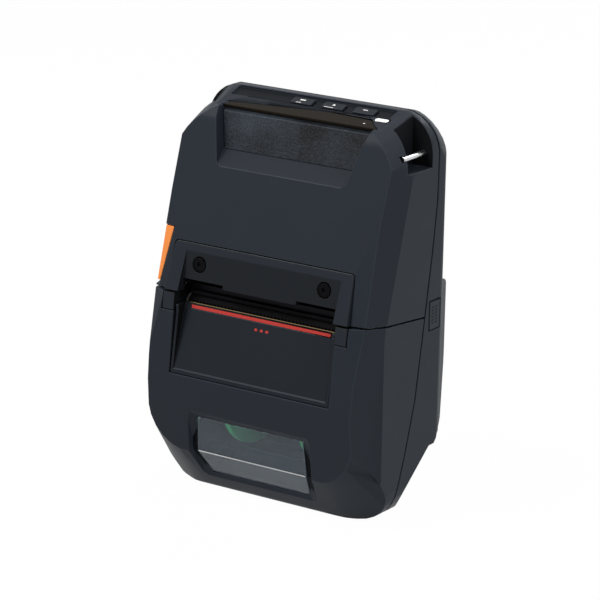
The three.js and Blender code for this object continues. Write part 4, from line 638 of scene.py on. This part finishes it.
def plastic(name, colour, roughness, grain=0.0004, depth=0.00003, strength=0.5,
            variation=0.12, shine=0.9, coat=0.0, specular=0.2):
    """A moulded plastic with grain in its surface, edges lightened by wear and a painted highlight,
    and painted shade in its recesses.
    """
    finish, tree, skin, group = grouped_finish(
        name, plastic_skin(), depth, strength, Colour=(*colour, 1), Roughness=roughness,
        Grain_Size=grain, Variation=variation, Edge_Shine=shine)
    # The bevel mask lightens the rims, and the painted shade mask darkens the recesses.
    for mask in ("edge", "sunk"):
        marked = tree.nodes.new("ShaderNodeAttribute")
        marked.attribute_name = mask
        tree.links.new(marked.outputs["Fac"], group.inputs[mask.capitalize()])
    skin.inputs["Specular IOR Level"].default_value = specular
    if coat:
        skin.inputs["Coat Weight"].default_value = coat
        skin.inputs["Coat Roughness"].default_value = 0.05
    return finish


def metal(name, colour, roughness, streak=ALONG_X, depth=0.00001):
    """A drawn or rolled metal with fine streaks."""
    finish, _, skin, _ = grouped_finish(
        name, metal_skin(), depth, 0.25, Colour=(*colour, 1), Roughness=roughness, Streak=streak)
    skin.inputs["Metallic"].default_value = 1.0
    return finish


def smoked_glass(name, colour, roughness):
    """Clear smoked plastic, hazy up to the roughness where it has been wiped."""
    finish, tree, skin, place = blank_finish(name)
    haze = tree.nodes.new("ShaderNodeTexNoise")
    haze.inputs["Scale"].default_value = 90.0
    haze.inputs["Detail"].default_value = 5.0
    span = tree.nodes.new("ShaderNodeMapRange")
    span.inputs["To Min"].default_value = 0.03
    span.inputs["To Max"].default_value = roughness
    tree.links.new(place, haze.inputs["Vector"])
    tree.links.new(haze.outputs["Fac"], span.inputs["Value"])
    tree.links.new(span.outputs["Result"], skin.inputs["Roughness"])
    skin.inputs["Base Color"].default_value = (*colour, 1)
    skin.inputs["Transmission Weight"].default_value = 0.95
    skin.inputs["IOR"].default_value = 1.2
    skin.inputs["Specular IOR Level"].default_value = 0.12
    path = tree.nodes.new("ShaderNodeLightPath")
    open_way = tree.nodes.new("ShaderNodeBsdfTransparent")
    open_way.inputs["Color"].default_value = (0.95, 0.97, 1.0, 1)
    out = next(node for node in tree.nodes if node.type == "OUTPUT_MATERIAL")
    mixed(tree, path.outputs["Is Shadow Ray"], skin, open_way, out)
    return finish


# The finishes made so far.
FINISHES = {}


def finish_table():
    """How each finish is made: its maker, colour, roughness and what else it sets."""
    colours = bpy.context.scene.printer_colours
    case = tuple(colours.case)
    grip, bezel, key = (tuple(share * c for c in case) for share in (0.85, 0.9, 0.6))
    shell = {"grain": 0.00035, "depth": 0.00004, "strength": 0.35}
    gloss = {"grain": 0.00026, "depth": 0.00002, "strength": 0.3, "specular": 0.12}
    fine = {"grain": 0.0003, "depth": 0.00001}
    # The shine lightens the bevelled rims with wear and a painted highlight, most on the ramp;
    # below nothing it darkens them into a dark line at the joints.
    return {
        "case_plastic": (plastic, case, 0.46, {**shell, "shine": 0.4, "specular": 0.1}),
        "flap_plastic": (plastic, case, 0.46, {**shell, "shine": -0.85, "specular": 0.13}),
        "grip_plastic": (plastic, grip, 0.42, {
            "grain": 0.0008, "depth": 0.00018, "strength": 1.0, "variation": 4.0}),
        "inner_plastic": (plastic, tuple(colours.frame), 0.45, {
            "grain": 0.0003, "depth": 0.00003, "strength": 0.35, "specular": 0.04}),
        "bezel_plastic": (plastic, bezel, 0.36, {**gloss, "shine": -0.75}),
        "ramp_plastic": (plastic, key, 0.36, {**gloss, "shine": 1.6}),
        "key_plastic": (plastic, key, 0.36, {"grain": 0.0003, "depth": 0.00002, "specular": 0.12}),
        "white_plastic": (plastic, tuple(colours.white), 0.4, {
            **fine, "variation": 0.05, "shine": 0.0}),
        "power_white": (plastic, (0.92, 0.92, 0.91), 0.35, {
            **fine, "variation": 0.04, "shine": 0.0}),
        "gear_plastic": (plastic, (0.62, 0.60, 0.54), 0.38, {
            "grain": 0.0005, "depth": 0.00001, "variation": 0.08, "shine": 0.05}),
        "guide_plastic": (plastic, tuple(colours.guide), 0.34, {
            "grain": 0.0004, "depth": 0.00002, "variation": 0.15, "shine": 0.15}),
        "lever_plastic": (plastic, tuple(colours.lever), 0.38, {
            "grain": 0.00035, "depth": 0.00003, "variation": 0.1, "shine": 0.12}),
        "stripe_paint": (plastic, tuple(colours.stripe), 0.4, {
            **fine, "variation": 0.1, "shine": 0.1}),
        "roller_rubber": (plastic, (0.006, 0.006, 0.007), 0.75, {
            "grain": 0.00025, "depth": 0.00005, "strength": 0.6, "variation": 0.3,
            "shine": 0.1, "specular": 0.06}),
        "board_lacquer": (plastic, (0.010, 0.085, 0.035), 0.3, {
            "grain": 0.0012, "depth": 0.00002, "variation": 0.5, "shine": 0.3, "coat": 0.5}),
        "chip_epoxy": (plastic, (0.014, 0.014, 0.015), 0.5, {"grain": 0.00025, "depth": 0.00001}),
        "head_glaze": (plastic, (0.005, 0.005, 0.006), 0.5, {
            "grain": 0.0006, "depth": 0.00001, "variation": 0.2, "specular": 0.05}),
        "lens_gloss": (plastic, (0.014, 0.011, 0.0078), 0.16, {
            "grain": 0.004, "depth": 0.00001, "strength": 0.05, "variation": 0.1,
            "shine": 0.1, "specular": 0.05}),
        "steel": (metal, (0.62, 0.62, 0.63), 0.24, {}),
        "dark_steel": (metal, (0.006, 0.006, 0.007), 0.36, {}),
        "plate_steel": (metal, (0.46, 0.46, 0.47), 0.34, {"streak": (5000.0, 300.0, 5000.0)}),
        "fin_aluminium": (metal, (0.010, 0.010, 0.012), 0.5, {"streak": (300.0, 5000.0, 5000.0)}),
        "tear_metal": (metal, (0.007, 0.006, 0.005), 0.4, {"streak": (300.0, 8000.0, 8000.0)}),
        "tear_gold": (metal, (0.30, 0.22, 0.11), 0.35, {"streak": (300.0, 8000.0, 8000.0)}),
        "contact_gold": (metal, (0.83, 0.60, 0.24), 0.28, {}),
        "window_smoke": (smoked_glass, (0.58, 0.67, 0.75), 0.10, {}),
    }


def finish_of(name):
    """The finish of that name, made when it is first asked for."""
    if name not in FINISHES:
        maker, colour, roughness, extra = finish_table()[name]
        FINISHES[name] = maker(name, colour, roughness, **extra)
    return FINISHES[name]


# ---------------------------------------------------------------- operators


def cavity_shade(face):
    """Painted shade on the inner walls of the two strap cavities and on the floor round the keys.
    """
    x, depth, height = in_mm(face)
    turn = face.normal
    cavity_low, cavity_near, cavity_far = 151.5, 45, 48.6
    front, middle, back = 20, 40, 46.9
    if height > cavity_low and abs(x) > cavity_near:
        if abs(turn.y) > 0.7 and front < depth < back and (turn.y > 0 or depth > middle):
            return 1.0
        if turn.x * x > 0 and abs(turn.x) > 0.6 and abs(x) < cavity_far:
            return 0.85
    deck_low, deck_half = 160, 42
    if height > deck_low and abs(x) < deck_half and turn.dot(deck_up()) > 0.9:
        rise = (face.calc_center_median() - on_deck(0, 0, 0)).dot(deck_up()) / MM
        if -1.6 < rise < -0.5:
            return 0.8
    return 0.0


def mouth_shade(face):
    """Painted shade on the side walls of the paper mouth, which face its middle."""
    x, depth, height = in_mm(face)
    inward = -face.normal.x * math.copysign(1, x)
    near, far, low, high, front = 36, 50, 56, 92, -6
    if inward > 0.2 and near < abs(x) < far and low < height < high and depth > front:
        return 1.0
    return 0.0


def frame_shade(face):
    """Painted shade on all of the cover's inner frame but its two front blocks."""
    block_back = 1.5
    return 0.0 if in_mm(face)[1] < block_back else 0.9


def bezel_shade(face):
    """Painted shade on the bezel's recessed field with its side walls, and all round its screw
    holes.
    """
    x, _, height = in_mm(face)
    lean = -face.normal.y
    screw_x, screw_height, hole = 32.5, 102.6, 4.2
    if math.hypot(abs(x) - screw_x, height - screw_height) < hole:
        return 1.0
    low, high, half = 92, 109, 41
    if lean < 0.5:
        return 0.8 if low < height < high and abs(x) < half else 0.0
    return 0.6 if lean > 0.97 else 0.0


class DressStep:
    """A step that gives each node of its rows a finish and a rim width in metres."""

    rows = ()

    def execute(self, context):
        for finish, rim, nodes in self.rows:
            for node in nodes:
                dress(node, finish, rim)
        return {"FINISHED"}


class DressShells(bpy.types.Operator):
    """Softens the facets and rims of the two front shells and the back shell, with painted shade in
    the strap cavities and on the mouth's side walls.
    """

    bl_idname = "printer.dress_shells"
    bl_label = "Case Shells"

    def execute(self, context):
        dress("back_shell", "case_plastic")
        dress("front_shell", "case_plastic", shade_of=cavity_shade)
        dress("cover_shell", "case_plastic", shade_of=mouth_shade)
        return {"FINISHED"}


class DressMouth(bpy.types.Operator):
    """Makes the head bezel, the paper ramp, the cover's frame and the tear bar with its line, with
    painted shade in the bezel's field, on the mouth's sides and on the inner frame.
    """

    bl_idname = "printer.dress_mouth"
    bl_label = "Paper Mouth"

    def execute(self, context):
        dress("head_bezel", "bezel_plastic", shade_of=bezel_shade)
        dress("ramp_panel", "ramp_plastic", shade_of=mouth_shade)
        dress("tear_bar", "tear_metal", rim=0.00008)
        dress("cover_frame", "bezel_plastic", shade_of=frame_shade)
        skin, before, line_low, line_high, line_half = skin_of("tear_bar"), -60, 84.95, 85.2, 0.038
        low, high = (
            skin.ray_cast(at(0, before, height), Vector((0, 1, 0)))[0]
            for height in (line_low, line_high))
        if low is None or high is None:
            raise RuntimeError("the tear bar's front face is not where its bright line goes")
        half = Vector((line_half, 0, 0))
        line = slab([low - half, low + half, high + half, high - half], GILT, Vector((0, -1, 0)))
        add_piece("tear_bar_line", line, "tear_gold", "tear_bar")
        return {"FINISHED"}


class DressGrip(DressStep, bpy.types.Operator):
    """Makes the coarse grip panel at the top of the front."""

    bl_idname = "printer.dress_grip"
    bl_label = "Grip Panel"
    rows = (("grip_plastic", None, ("grip_panel",)),)


class MakeStripe(bpy.types.Operator):
    """Makes the red stripe on the ramp and the three red marks under it."""

    bl_idname = "printer.make_stripe"
    bl_label = "Red Stripe and Marks"

    def execute(self, context):
        dress("warning_stripe", "stripe_paint", rim=0.0001)
        mark_height, half, tall, bury, steps = 79.45, 0.8, 0.62, -0.02, 12
        top, foot = RAMP[0][1], RAMP[1][1]
        share = (top - mark_height) / (top - foot)
        corners = []
        for k in range(steps):
            turn = 2 * math.pi * k / steps
            along = share + tall * math.sin(turn) / RAMP_LENGTH
            corners.append(on_ramp(half * math.cos(turn), along, bury))
        middle = on_ramp(0, share, 0)
        out = (on_ramp(0, share, 1) - middle).normalized()
        unit = slab([corner - middle for corner in corners], PAINT, out)
        pitch, right = context.scene.printer_sizes.dot_pitch, 0.0015
        grow("ramp_marks", unit, "stripe_paint", "ramp_panel",
             Count=3, Start=tuple(middle - Vector((pitch - right, 0, 0))), Step=(pitch, 0, 0))
        return {"FINISHED"}


def window_pane():
    """The folded pane: a front and a back sheet on the three cross lines, closed round the edge."""
    thick = 0.6
    work = bmesh.new()
    rings = [[work.verts.new(at(side * x, depth + back, height)) for x, depth, height in WINDOW_ROWS
              for side in (-1, 1)] for back in (0, thick)]
    for ring in rings:
        for low in (0, 2):
            work.faces.new((ring[low], ring[low + 1], ring[low + 3], ring[low + 2]))
    outline = (0, 1, 3, 5, 4, 2)
    for first, second in zip(outline, outline[1:] + outline[:1]):
        work.faces.new((rings[0][first], rings[0][second], rings[1][second], rings[1][first]))
    bmesh.ops.recalc_face_normals(work, faces=work.faces)
    return work


def window_gasket():
    """A dark frame right behind the pane's rim, which closes the gap round it."""
    behind, thick, wider, taller, lap = 0.9, 0.4, 2.2, 2, 0.3
    rows = [[(half + wide, depth + behind, height + rise)
             for (half, depth, height), rise in zip(WINDOW_ROWS, (-end, 0, end))]
            for wide, end in ((wider, taller), (-lap, -lap))]
    order = [(-1, 0), (1, 0), (1, 1), (1, 2), (-1, 2), (-1, 1)]
    work = bmesh.new()
    outer, outer_back, inner, inner_back = [
        [work.verts.new(at(side * row[k][0], row[k][1] + back, row[k][2])) for side, k in order]
        for row in rows for back in (0, thick)]
    for k in range(len(order)):
        n = (k + 1) % len(order)
        for first, second in ((outer, inner), (inner, inner_back), (inner_back, outer_back),
                              (outer_back, outer)):
            work.faces.new((first[k], first[n], second[n], second[k]))
    bmesh.ops.recalc_face_normals(work, faces=work.faces)
    return work


def window_crease():
    """A thin white strip along the pane's fold: a painted highlight."""
    length, fold, width, low_depth, high_depth = 56.4, 20.3, 0.3, -0.08, -0.11
    half = Vector((length / 2 * MM, 0, 0))
    low, high = at(0, low_depth, fold), at(0, high_depth, fold + width)
    return slab([low - half, low + half, high + half, high - half], LINE, Vector((0, -1, 0)))


class MakeWindow(bpy.types.Operator):
    """Makes the smoked window over the paper roll, with its gasket and a painted highlight on its
    fold.
    """

    bl_idname = "printer.make_window"
    bl_label = "Roll Window"

    def execute(self, context):
        node = "paper_window"
        add_piece("paper_window_form", window_pane(), "window_smoke", node, node)
        add_piece("window_gasket", window_gasket(), "inner_plastic", node)
        # A white strip along the fold: a painted highlight.
        add_piece("window_crease", window_crease(), "white_plastic", node)
        return {"FINISHED"}


class MakeScrews(DressStep, bpy.types.Operator):
    """Makes the two dark screws of the bezel, with a six-sided socket."""

    bl_idname = "printer.make_screws"
    bl_label = "Bezel Screws"
    rows = (("dark_steel", 0.00025, ("bezel_screw_left", "bezel_screw_right")),)


# Each key's place across the deck, and the corners of its white mark across and along it.
KEY_MARKS = {
    "left": (-5, [(-1.4, 11.8), (1.4, 11.8), (1.4, 12.5), (-1.4, 12.5)]),
    "middle": (11, [(-0.9, 11.7), (0.9, 11.7), (0, 12.9)]),
    "right": (27, [(-1.2, 11.9), (1.2, 11.9), (1.2, 12.4), (-1.2, 12.4)]),
}

# The small white marks: name, node, place across and along the deck, width, depth and rise.
DECK_MARKS = (
    ("dash_left", "key_left", -6.2, 10.1, 2.6, 0.3, 0.1),
    ("dash_middle", "key_middle", 9.4, 10.1, 4.6, 0.3, 0.1),
    ("lamp_dot", "display_lens", 32.0, 2.9, 0.8, 0.5, 0),
)


class MakeDeck(bpy.types.Operator):
    """Makes the lens, the keys with plain marks, the power key and what lies under them."""

    bl_idname = "printer.make_deck"
    bl_label = "Key Deck"

    def execute(self, context):
        dress("display_lens", "lens_gloss", rim=0.0002)
        dress("display_module", "chip_epoxy")
        dress("keypad_plate", "roller_rubber")
        key_rise = 0.1
        for key, (place, marks) in KEY_MARKS.items():
            node = "key_" + key
            dress(node, "key_plastic", rim=0.0005)
            corners = [on_deck(place + x, along, key_rise) for x, along in marks]
            add_piece("mark_" + key, slab(corners, PAINT, deck_up()), "white_plastic", node)
        dress("power_key", "power_white", rim=0.0003)
        square = ((-0.5, -0.5), (0.5, -0.5), (0.5, 0.5), (-0.5, 0.5))
        for name, node, x, along, wide, deep, rise in DECK_MARKS:
            corners = [on_deck(x + u * wide, along + v * deep, rise) for u, v in square]
            add_piece(name, slab(corners, PAINT, deck_up()), "white_plastic", node)
        return {"FINISHED"}


class MakeLever(DressStep, bpy.types.Operator):
    """Makes the orange release lever on the left edge."""

    bl_idname = "printer.make_lever"
    bl_label = "Release Lever"
    rows = (("lever_plastic", 0.0004, ("release_lever",)),)


class MakePins(DressStep, bpy.types.Operator):
    """Makes the bright strap pins and the hinge pins."""

    bl_idname = "printer.make_pins"
    bl_label = "Strap and Hinge Pins"
    rows = (("steel", 0.0001, (
        "strap_pin_left", "hinge_pin_left", "strap_pin_right", "hinge_pin_right")),)


class MakeRoller(bpy.types.Operator):
    """Makes the rubber platen roller with its shaft and bearings."""

    bl_idname = "printer.make_roller"
    bl_label = "Platen Roller"

    def execute(self, context):
        end, core, radius, chamfer = 40.5, 2.6, 6.5, 0.3
        edge = radius - chamfer
        rings = [(-end, core), (-end, edge), (chamfer - end, radius),
                 (end - chamfer, radius), (end, edge), (end, core)]
        sleeve = turned(rings, PLATEN, context.scene.printer_sizes.roller_steps)
        add_piece("platen_sleeve_form", sleeve, "roller_rubber", "platen_sleeve", "platen_sleeve")
        dress("platen_shaft", "steel", rim=0.0002)
        for side in SIDES:
            dress("roller_bearing_" + side, "gear_plastic", rim=0.0002)
        return {"FINISHED"}


class MakeGears(DressStep, bpy.types.Operator):
    """Makes the drive gears and the feed motor."""

    bl_idname = "printer.make_gears"
    bl_label = "Drive Gears and Motor"
    rows = (
        ("gear_plastic", 0.00008, ("platen_gear", "idler_gear", "motor_pinion")),
        ("plate_steel", 0.0003, ("feed_motor",)),
    )


class MakeHead(DressStep, bpy.types.Operator):
    """Makes the print head, its finned heat sink and its springs."""

    bl_idname = "printer.make_head"
    bl_label = "Print Head"
    rows = (
        ("head_glaze", 0.0002, ("print_head",)),
        ("fin_aluminium", 0.0001, ("heat_sink",)),
        ("steel", 0.00002, ("head_spring_left", "head_spring_right")),
    )


class MakeChassis(DressStep, bpy.types.Operator):
    """Makes the mechanism frame, the roll bay and the latch."""

    bl_idname = "printer.make_chassis"
    bl_label = "Chassis and Latch"
    rows = (
        ("inner_plastic", None, ("mechanism_frame", "roll_bay_frame")),
        ("steel", 0.0001, ("latch_shaft",)),
        ("plate_steel", 0.00015, ("latch_hook_left", "latch_hook_right")),
    )


class MakeGuides(DressStep, bpy.types.Operator):
    """Makes the green roll guides and the pinion between their racks."""

    bl_idname = "printer.make_guides"
    bl_label = "Roll Guides"
    rows = (
        ("guide_plastic", 0.0002, ("roll_guide_left", "roll_guide_right")),
        ("gear_plastic", 0.00008, ("guide_pinion",)),
    )


class MakePower(DressStep, bpy.types.Operator):
    """Makes the battery pack with its catch and contacts."""

    bl_idname = "printer.make_power"
    bl_label = "Battery"
    rows = (
        ("case_plastic", 0.0004, ("battery_pack",)),
        ("key_plastic", 0.0002, ("battery_latch",)),
        ("contact_gold", 0.0001, ("battery_contacts",)),
    )


# The two columns of ribs on the side flap, thin black strips that paint the shade of the grip's
# grooves: name, and depth behind the mouth's front plane.
FLAP_RIBS = (("flap_ribs_front", 50.2), ("flap_ribs_back", 52.9))


class MakeBoard(bpy.types.Operator):
    """Makes the main board, the port and its side flap with a ribbed grip, whose ribs are black as
    a painted shade.
    """

    bl_idname = "printer.make_board"
    bl_label = "Board, Port and Flap"

    def execute(self, context):
        dress("main_board", "board_lacquer", rim=0.0001)
        dress("port_socket", "steel", rim=0.0001)
        dress("port_flap", "flap_plastic", rim=0.0004)
        skin, outside = skin_of("port_flap"), 80
        low, high, count, bury = 82.6, 89.6, 6, 0.00003
        half, tall = Vector((0, 0.0008, 0)), Vector((0, 0, 0.0003))
        corners = [-half - tall, half - tall, half + tall, tall - half]
        for name, depth in FLAP_RIBS:
            first, last = (
                skin.ray_cast(at(outside, depth, height), Vector((-1, 0, 0)))[0]
                for height in (low, high))
            if first is None or last is None:
                raise RuntimeError("the flap's outer face is not where the ribs go")
            # Thin black strips stand in for the shade of the grip's ribs: painted shade.
            grow(name, slab(corners, LINE, Vector((1, 0, 0))), "inner_plastic", "port_flap",
                 Count=count, Start=tuple(first - Vector((bury, 0, 0))),
                 Step=tuple((last - first) / (count - 1)))
        return {"FINISHED"}


# The soft lights: name, place and size in metres.
LAMPS = (
    ("key", (-0.60, -0.85, 1.45), 0.9),
    ("side", (1.25, -0.15, 0.75), 0.8),
    ("back", (0.1, 1.0, 1.1), 0.8),
)
AIM = (0, 0, 0.09)
FLOOR_HALF = 4.0
FLOOR_GREY = 0.86


class SetStage(bpy.types.Operator):
    """Sets the pale floor, the soft lights, the room and the camera."""

    bl_idname = "printer.set_stage"
    bl_label = "Studio Stage"

    def execute(self, context):
        stage = context.scene.printer_stage
        pale_floor(stage)
        bright_room(stage)
        for name, place, size in LAMPS:
            soft_light(name + "_light", place, size, getattr(stage, name + "_power"))
        place_camera(stage)
        context.scene.view_settings.view_transform = "Standard"
        return {"FINISHED"}


def seen_white(tree):
    """One where the camera, a glossy piece or a clear piece looks at the surface, else nothing."""
    path = tree.nodes.new("ShaderNodeLightPath")
    seen = path.outputs["Is Camera Ray"]
    for ray in ("Is Glossy Ray", "Is Transmission Ray"):
        seen = maths(tree, "MAXIMUM", seen, path.outputs[ray])
    return seen


def pale_floor(stage):
    """The floor under the printer: white to the camera, and matt to the light."""
    mesh = bpy.data.meshes.new("studio_floor")
    half = FLOOR_HALF
    corners = [(-half, -half, 0), (half, -half, 0), (half, half, 0), (-half, half, 0)]
    mesh.from_pydata(corners, [], [(0, 1, 2, 3)])
    floor = bpy.data.objects.new("studio_floor", mesh)
    bpy.context.scene.collection.objects.link(floor)
    finish = bpy.data.materials.new("floor_paper")
    finish.use_nodes = True
    tree = finish.node_tree
    tree.nodes.clear()
    matt = tree.nodes.new("ShaderNodeBsdfDiffuse")
    matt.inputs["Color"].default_value = (FLOOR_GREY, FLOOR_GREY, FLOOR_GREY, 1)
    glow = tree.nodes.new("ShaderNodeEmission")
    glow.inputs["Color"].default_value = (1, 1, 1, 1)
    share = maths(tree, "MULTIPLY", seen_white(tree), stage.paleness)
    mixed(tree, share, matt, glow, tree.nodes.new("ShaderNodeOutputMaterial"))
    mesh.materials.append(finish)


def bright_room(stage):
    """The world: white to the camera, and dim to the plastics."""
    room = bpy.data.worlds.new("bright_room")
    bpy.context.scene.world = room
    room.use_nodes = True
    tree = room.node_tree
    tree.nodes.clear()
    soft, white = (tree.nodes.new("ShaderNodeBackground") for _ in range(2))
    for glow, strength in ((soft, stage.room), (white, 1.0)):
        glow.inputs["Color"].default_value = (1, 1, 1, 1)
        glow.inputs["Strength"].default_value = strength
    mixed(tree, seen_white(tree), soft, white, tree.nodes.new("ShaderNodeOutputWorld"))


def soft_light(name, place, size, power):
    """A square area light aimed at the middle of the printer."""
    lamp = bpy.data.lights.new(name, "AREA")
    lamp.shape = "SQUARE"
    lamp.size = size
    lamp.energy = power
    holder = bpy.data.objects.new(name, lamp)
    bpy.context.scene.collection.objects.link(holder)
    place = Vector(place)
    turn = (Vector(AIM) - place).to_track_quat("-Z", "Y").to_matrix().to_4x4()
    holder.matrix_world = Matrix.Translation(place) @ turn


def place_camera(stage):
    """The camera at the photograph's angle."""
    lens = bpy.data.cameras.new("photo_camera")
    lens.sensor_fit = "HORIZONTAL"
    lens.sensor_width = 36.0
    lens.lens = stage.lens
    lens.clip_start = 0.05
    lens.clip_end = 50.0
    camera = bpy.data.objects.new("photo_camera", lens)
    bpy.context.scene.collection.objects.link(camera)
    across = Vector((math.cos(stage.azimuth), math.sin(stage.azimuth), 0))
    ahead = Vector((
        -math.sin(stage.azimuth) * math.cos(stage.elevation),
        math.cos(stage.azimuth) * math.cos(stage.elevation),
        -math.sin(stage.elevation)))
    upward = across.cross(ahead)
    right = across * math.cos(stage.roll) + upward * math.sin(stage.roll)
    up = upward * math.cos(stage.roll) - across * math.sin(stage.roll)
    turn = Matrix((right, up, -ahead)).transposed().to_4x4()
    camera.matrix_world = Matrix.Translation(Vector(stage.camera_place)) @ turn
    bpy.context.scene.camera = camera


PIECES = (
    DressShells, DressMouth, DressGrip, MakeStripe, MakeWindow, MakeScrews, MakeDeck, MakeLever,
    MakePins, MakeRoller, MakeGears, MakeHead, MakeChassis, MakeGuides, MakePower, MakeBoard,
    SetStage,
)


class PrinterPanel(bpy.types.Panel):
    """Lists the sizes, the colours and the steps that make the printer."""

    bl_idname = "VIEW3D_PT_receipt_printer"
    bl_label = "Receipt Printer"
    bl_space_type = "VIEW_3D"
    bl_region_type = "UI"
    bl_category = "Printer"

    def draw(self, context):
        scene = context.scene
        for title, group in (
                ("Sizes", scene.printer_sizes), ("Colours", scene.printer_colours),
                ("Stage", scene.printer_stage)):
            box = self.layout.box()
            box.label(text=title)
            for name in group.__annotations__:
                box.prop(group, name)
        column = self.layout.column(align=True)
        for step in PIECES:
            column.operator(step.bl_idname)


CLASSES = (PrinterSizes, PrinterColours, StageSettings, *PIECES, PrinterPanel)


def register():
    for made in CLASSES:
        bpy.utils.register_class(made)
    bpy.types.Scene.printer_sizes = PointerProperty(type=PrinterSizes)
    bpy.types.Scene.printer_colours = PointerProperty(type=PrinterColours)
    bpy.types.Scene.printer_stage = PointerProperty(type=StageSettings)


def unregister():
    del bpy.types.Scene.printer_stage
    del bpy.types.Scene.printer_colours
    del bpy.types.Scene.printer_sizes
    for made in reversed(CLASSES):
        bpy.utils.unregister_class(made)


def main():
    register()
    for step in PIECES:
        family, name = step.bl_idname.split(".")
        getattr(getattr(bpy.ops, family), name)()


if __name__ == "__main__":
    main()
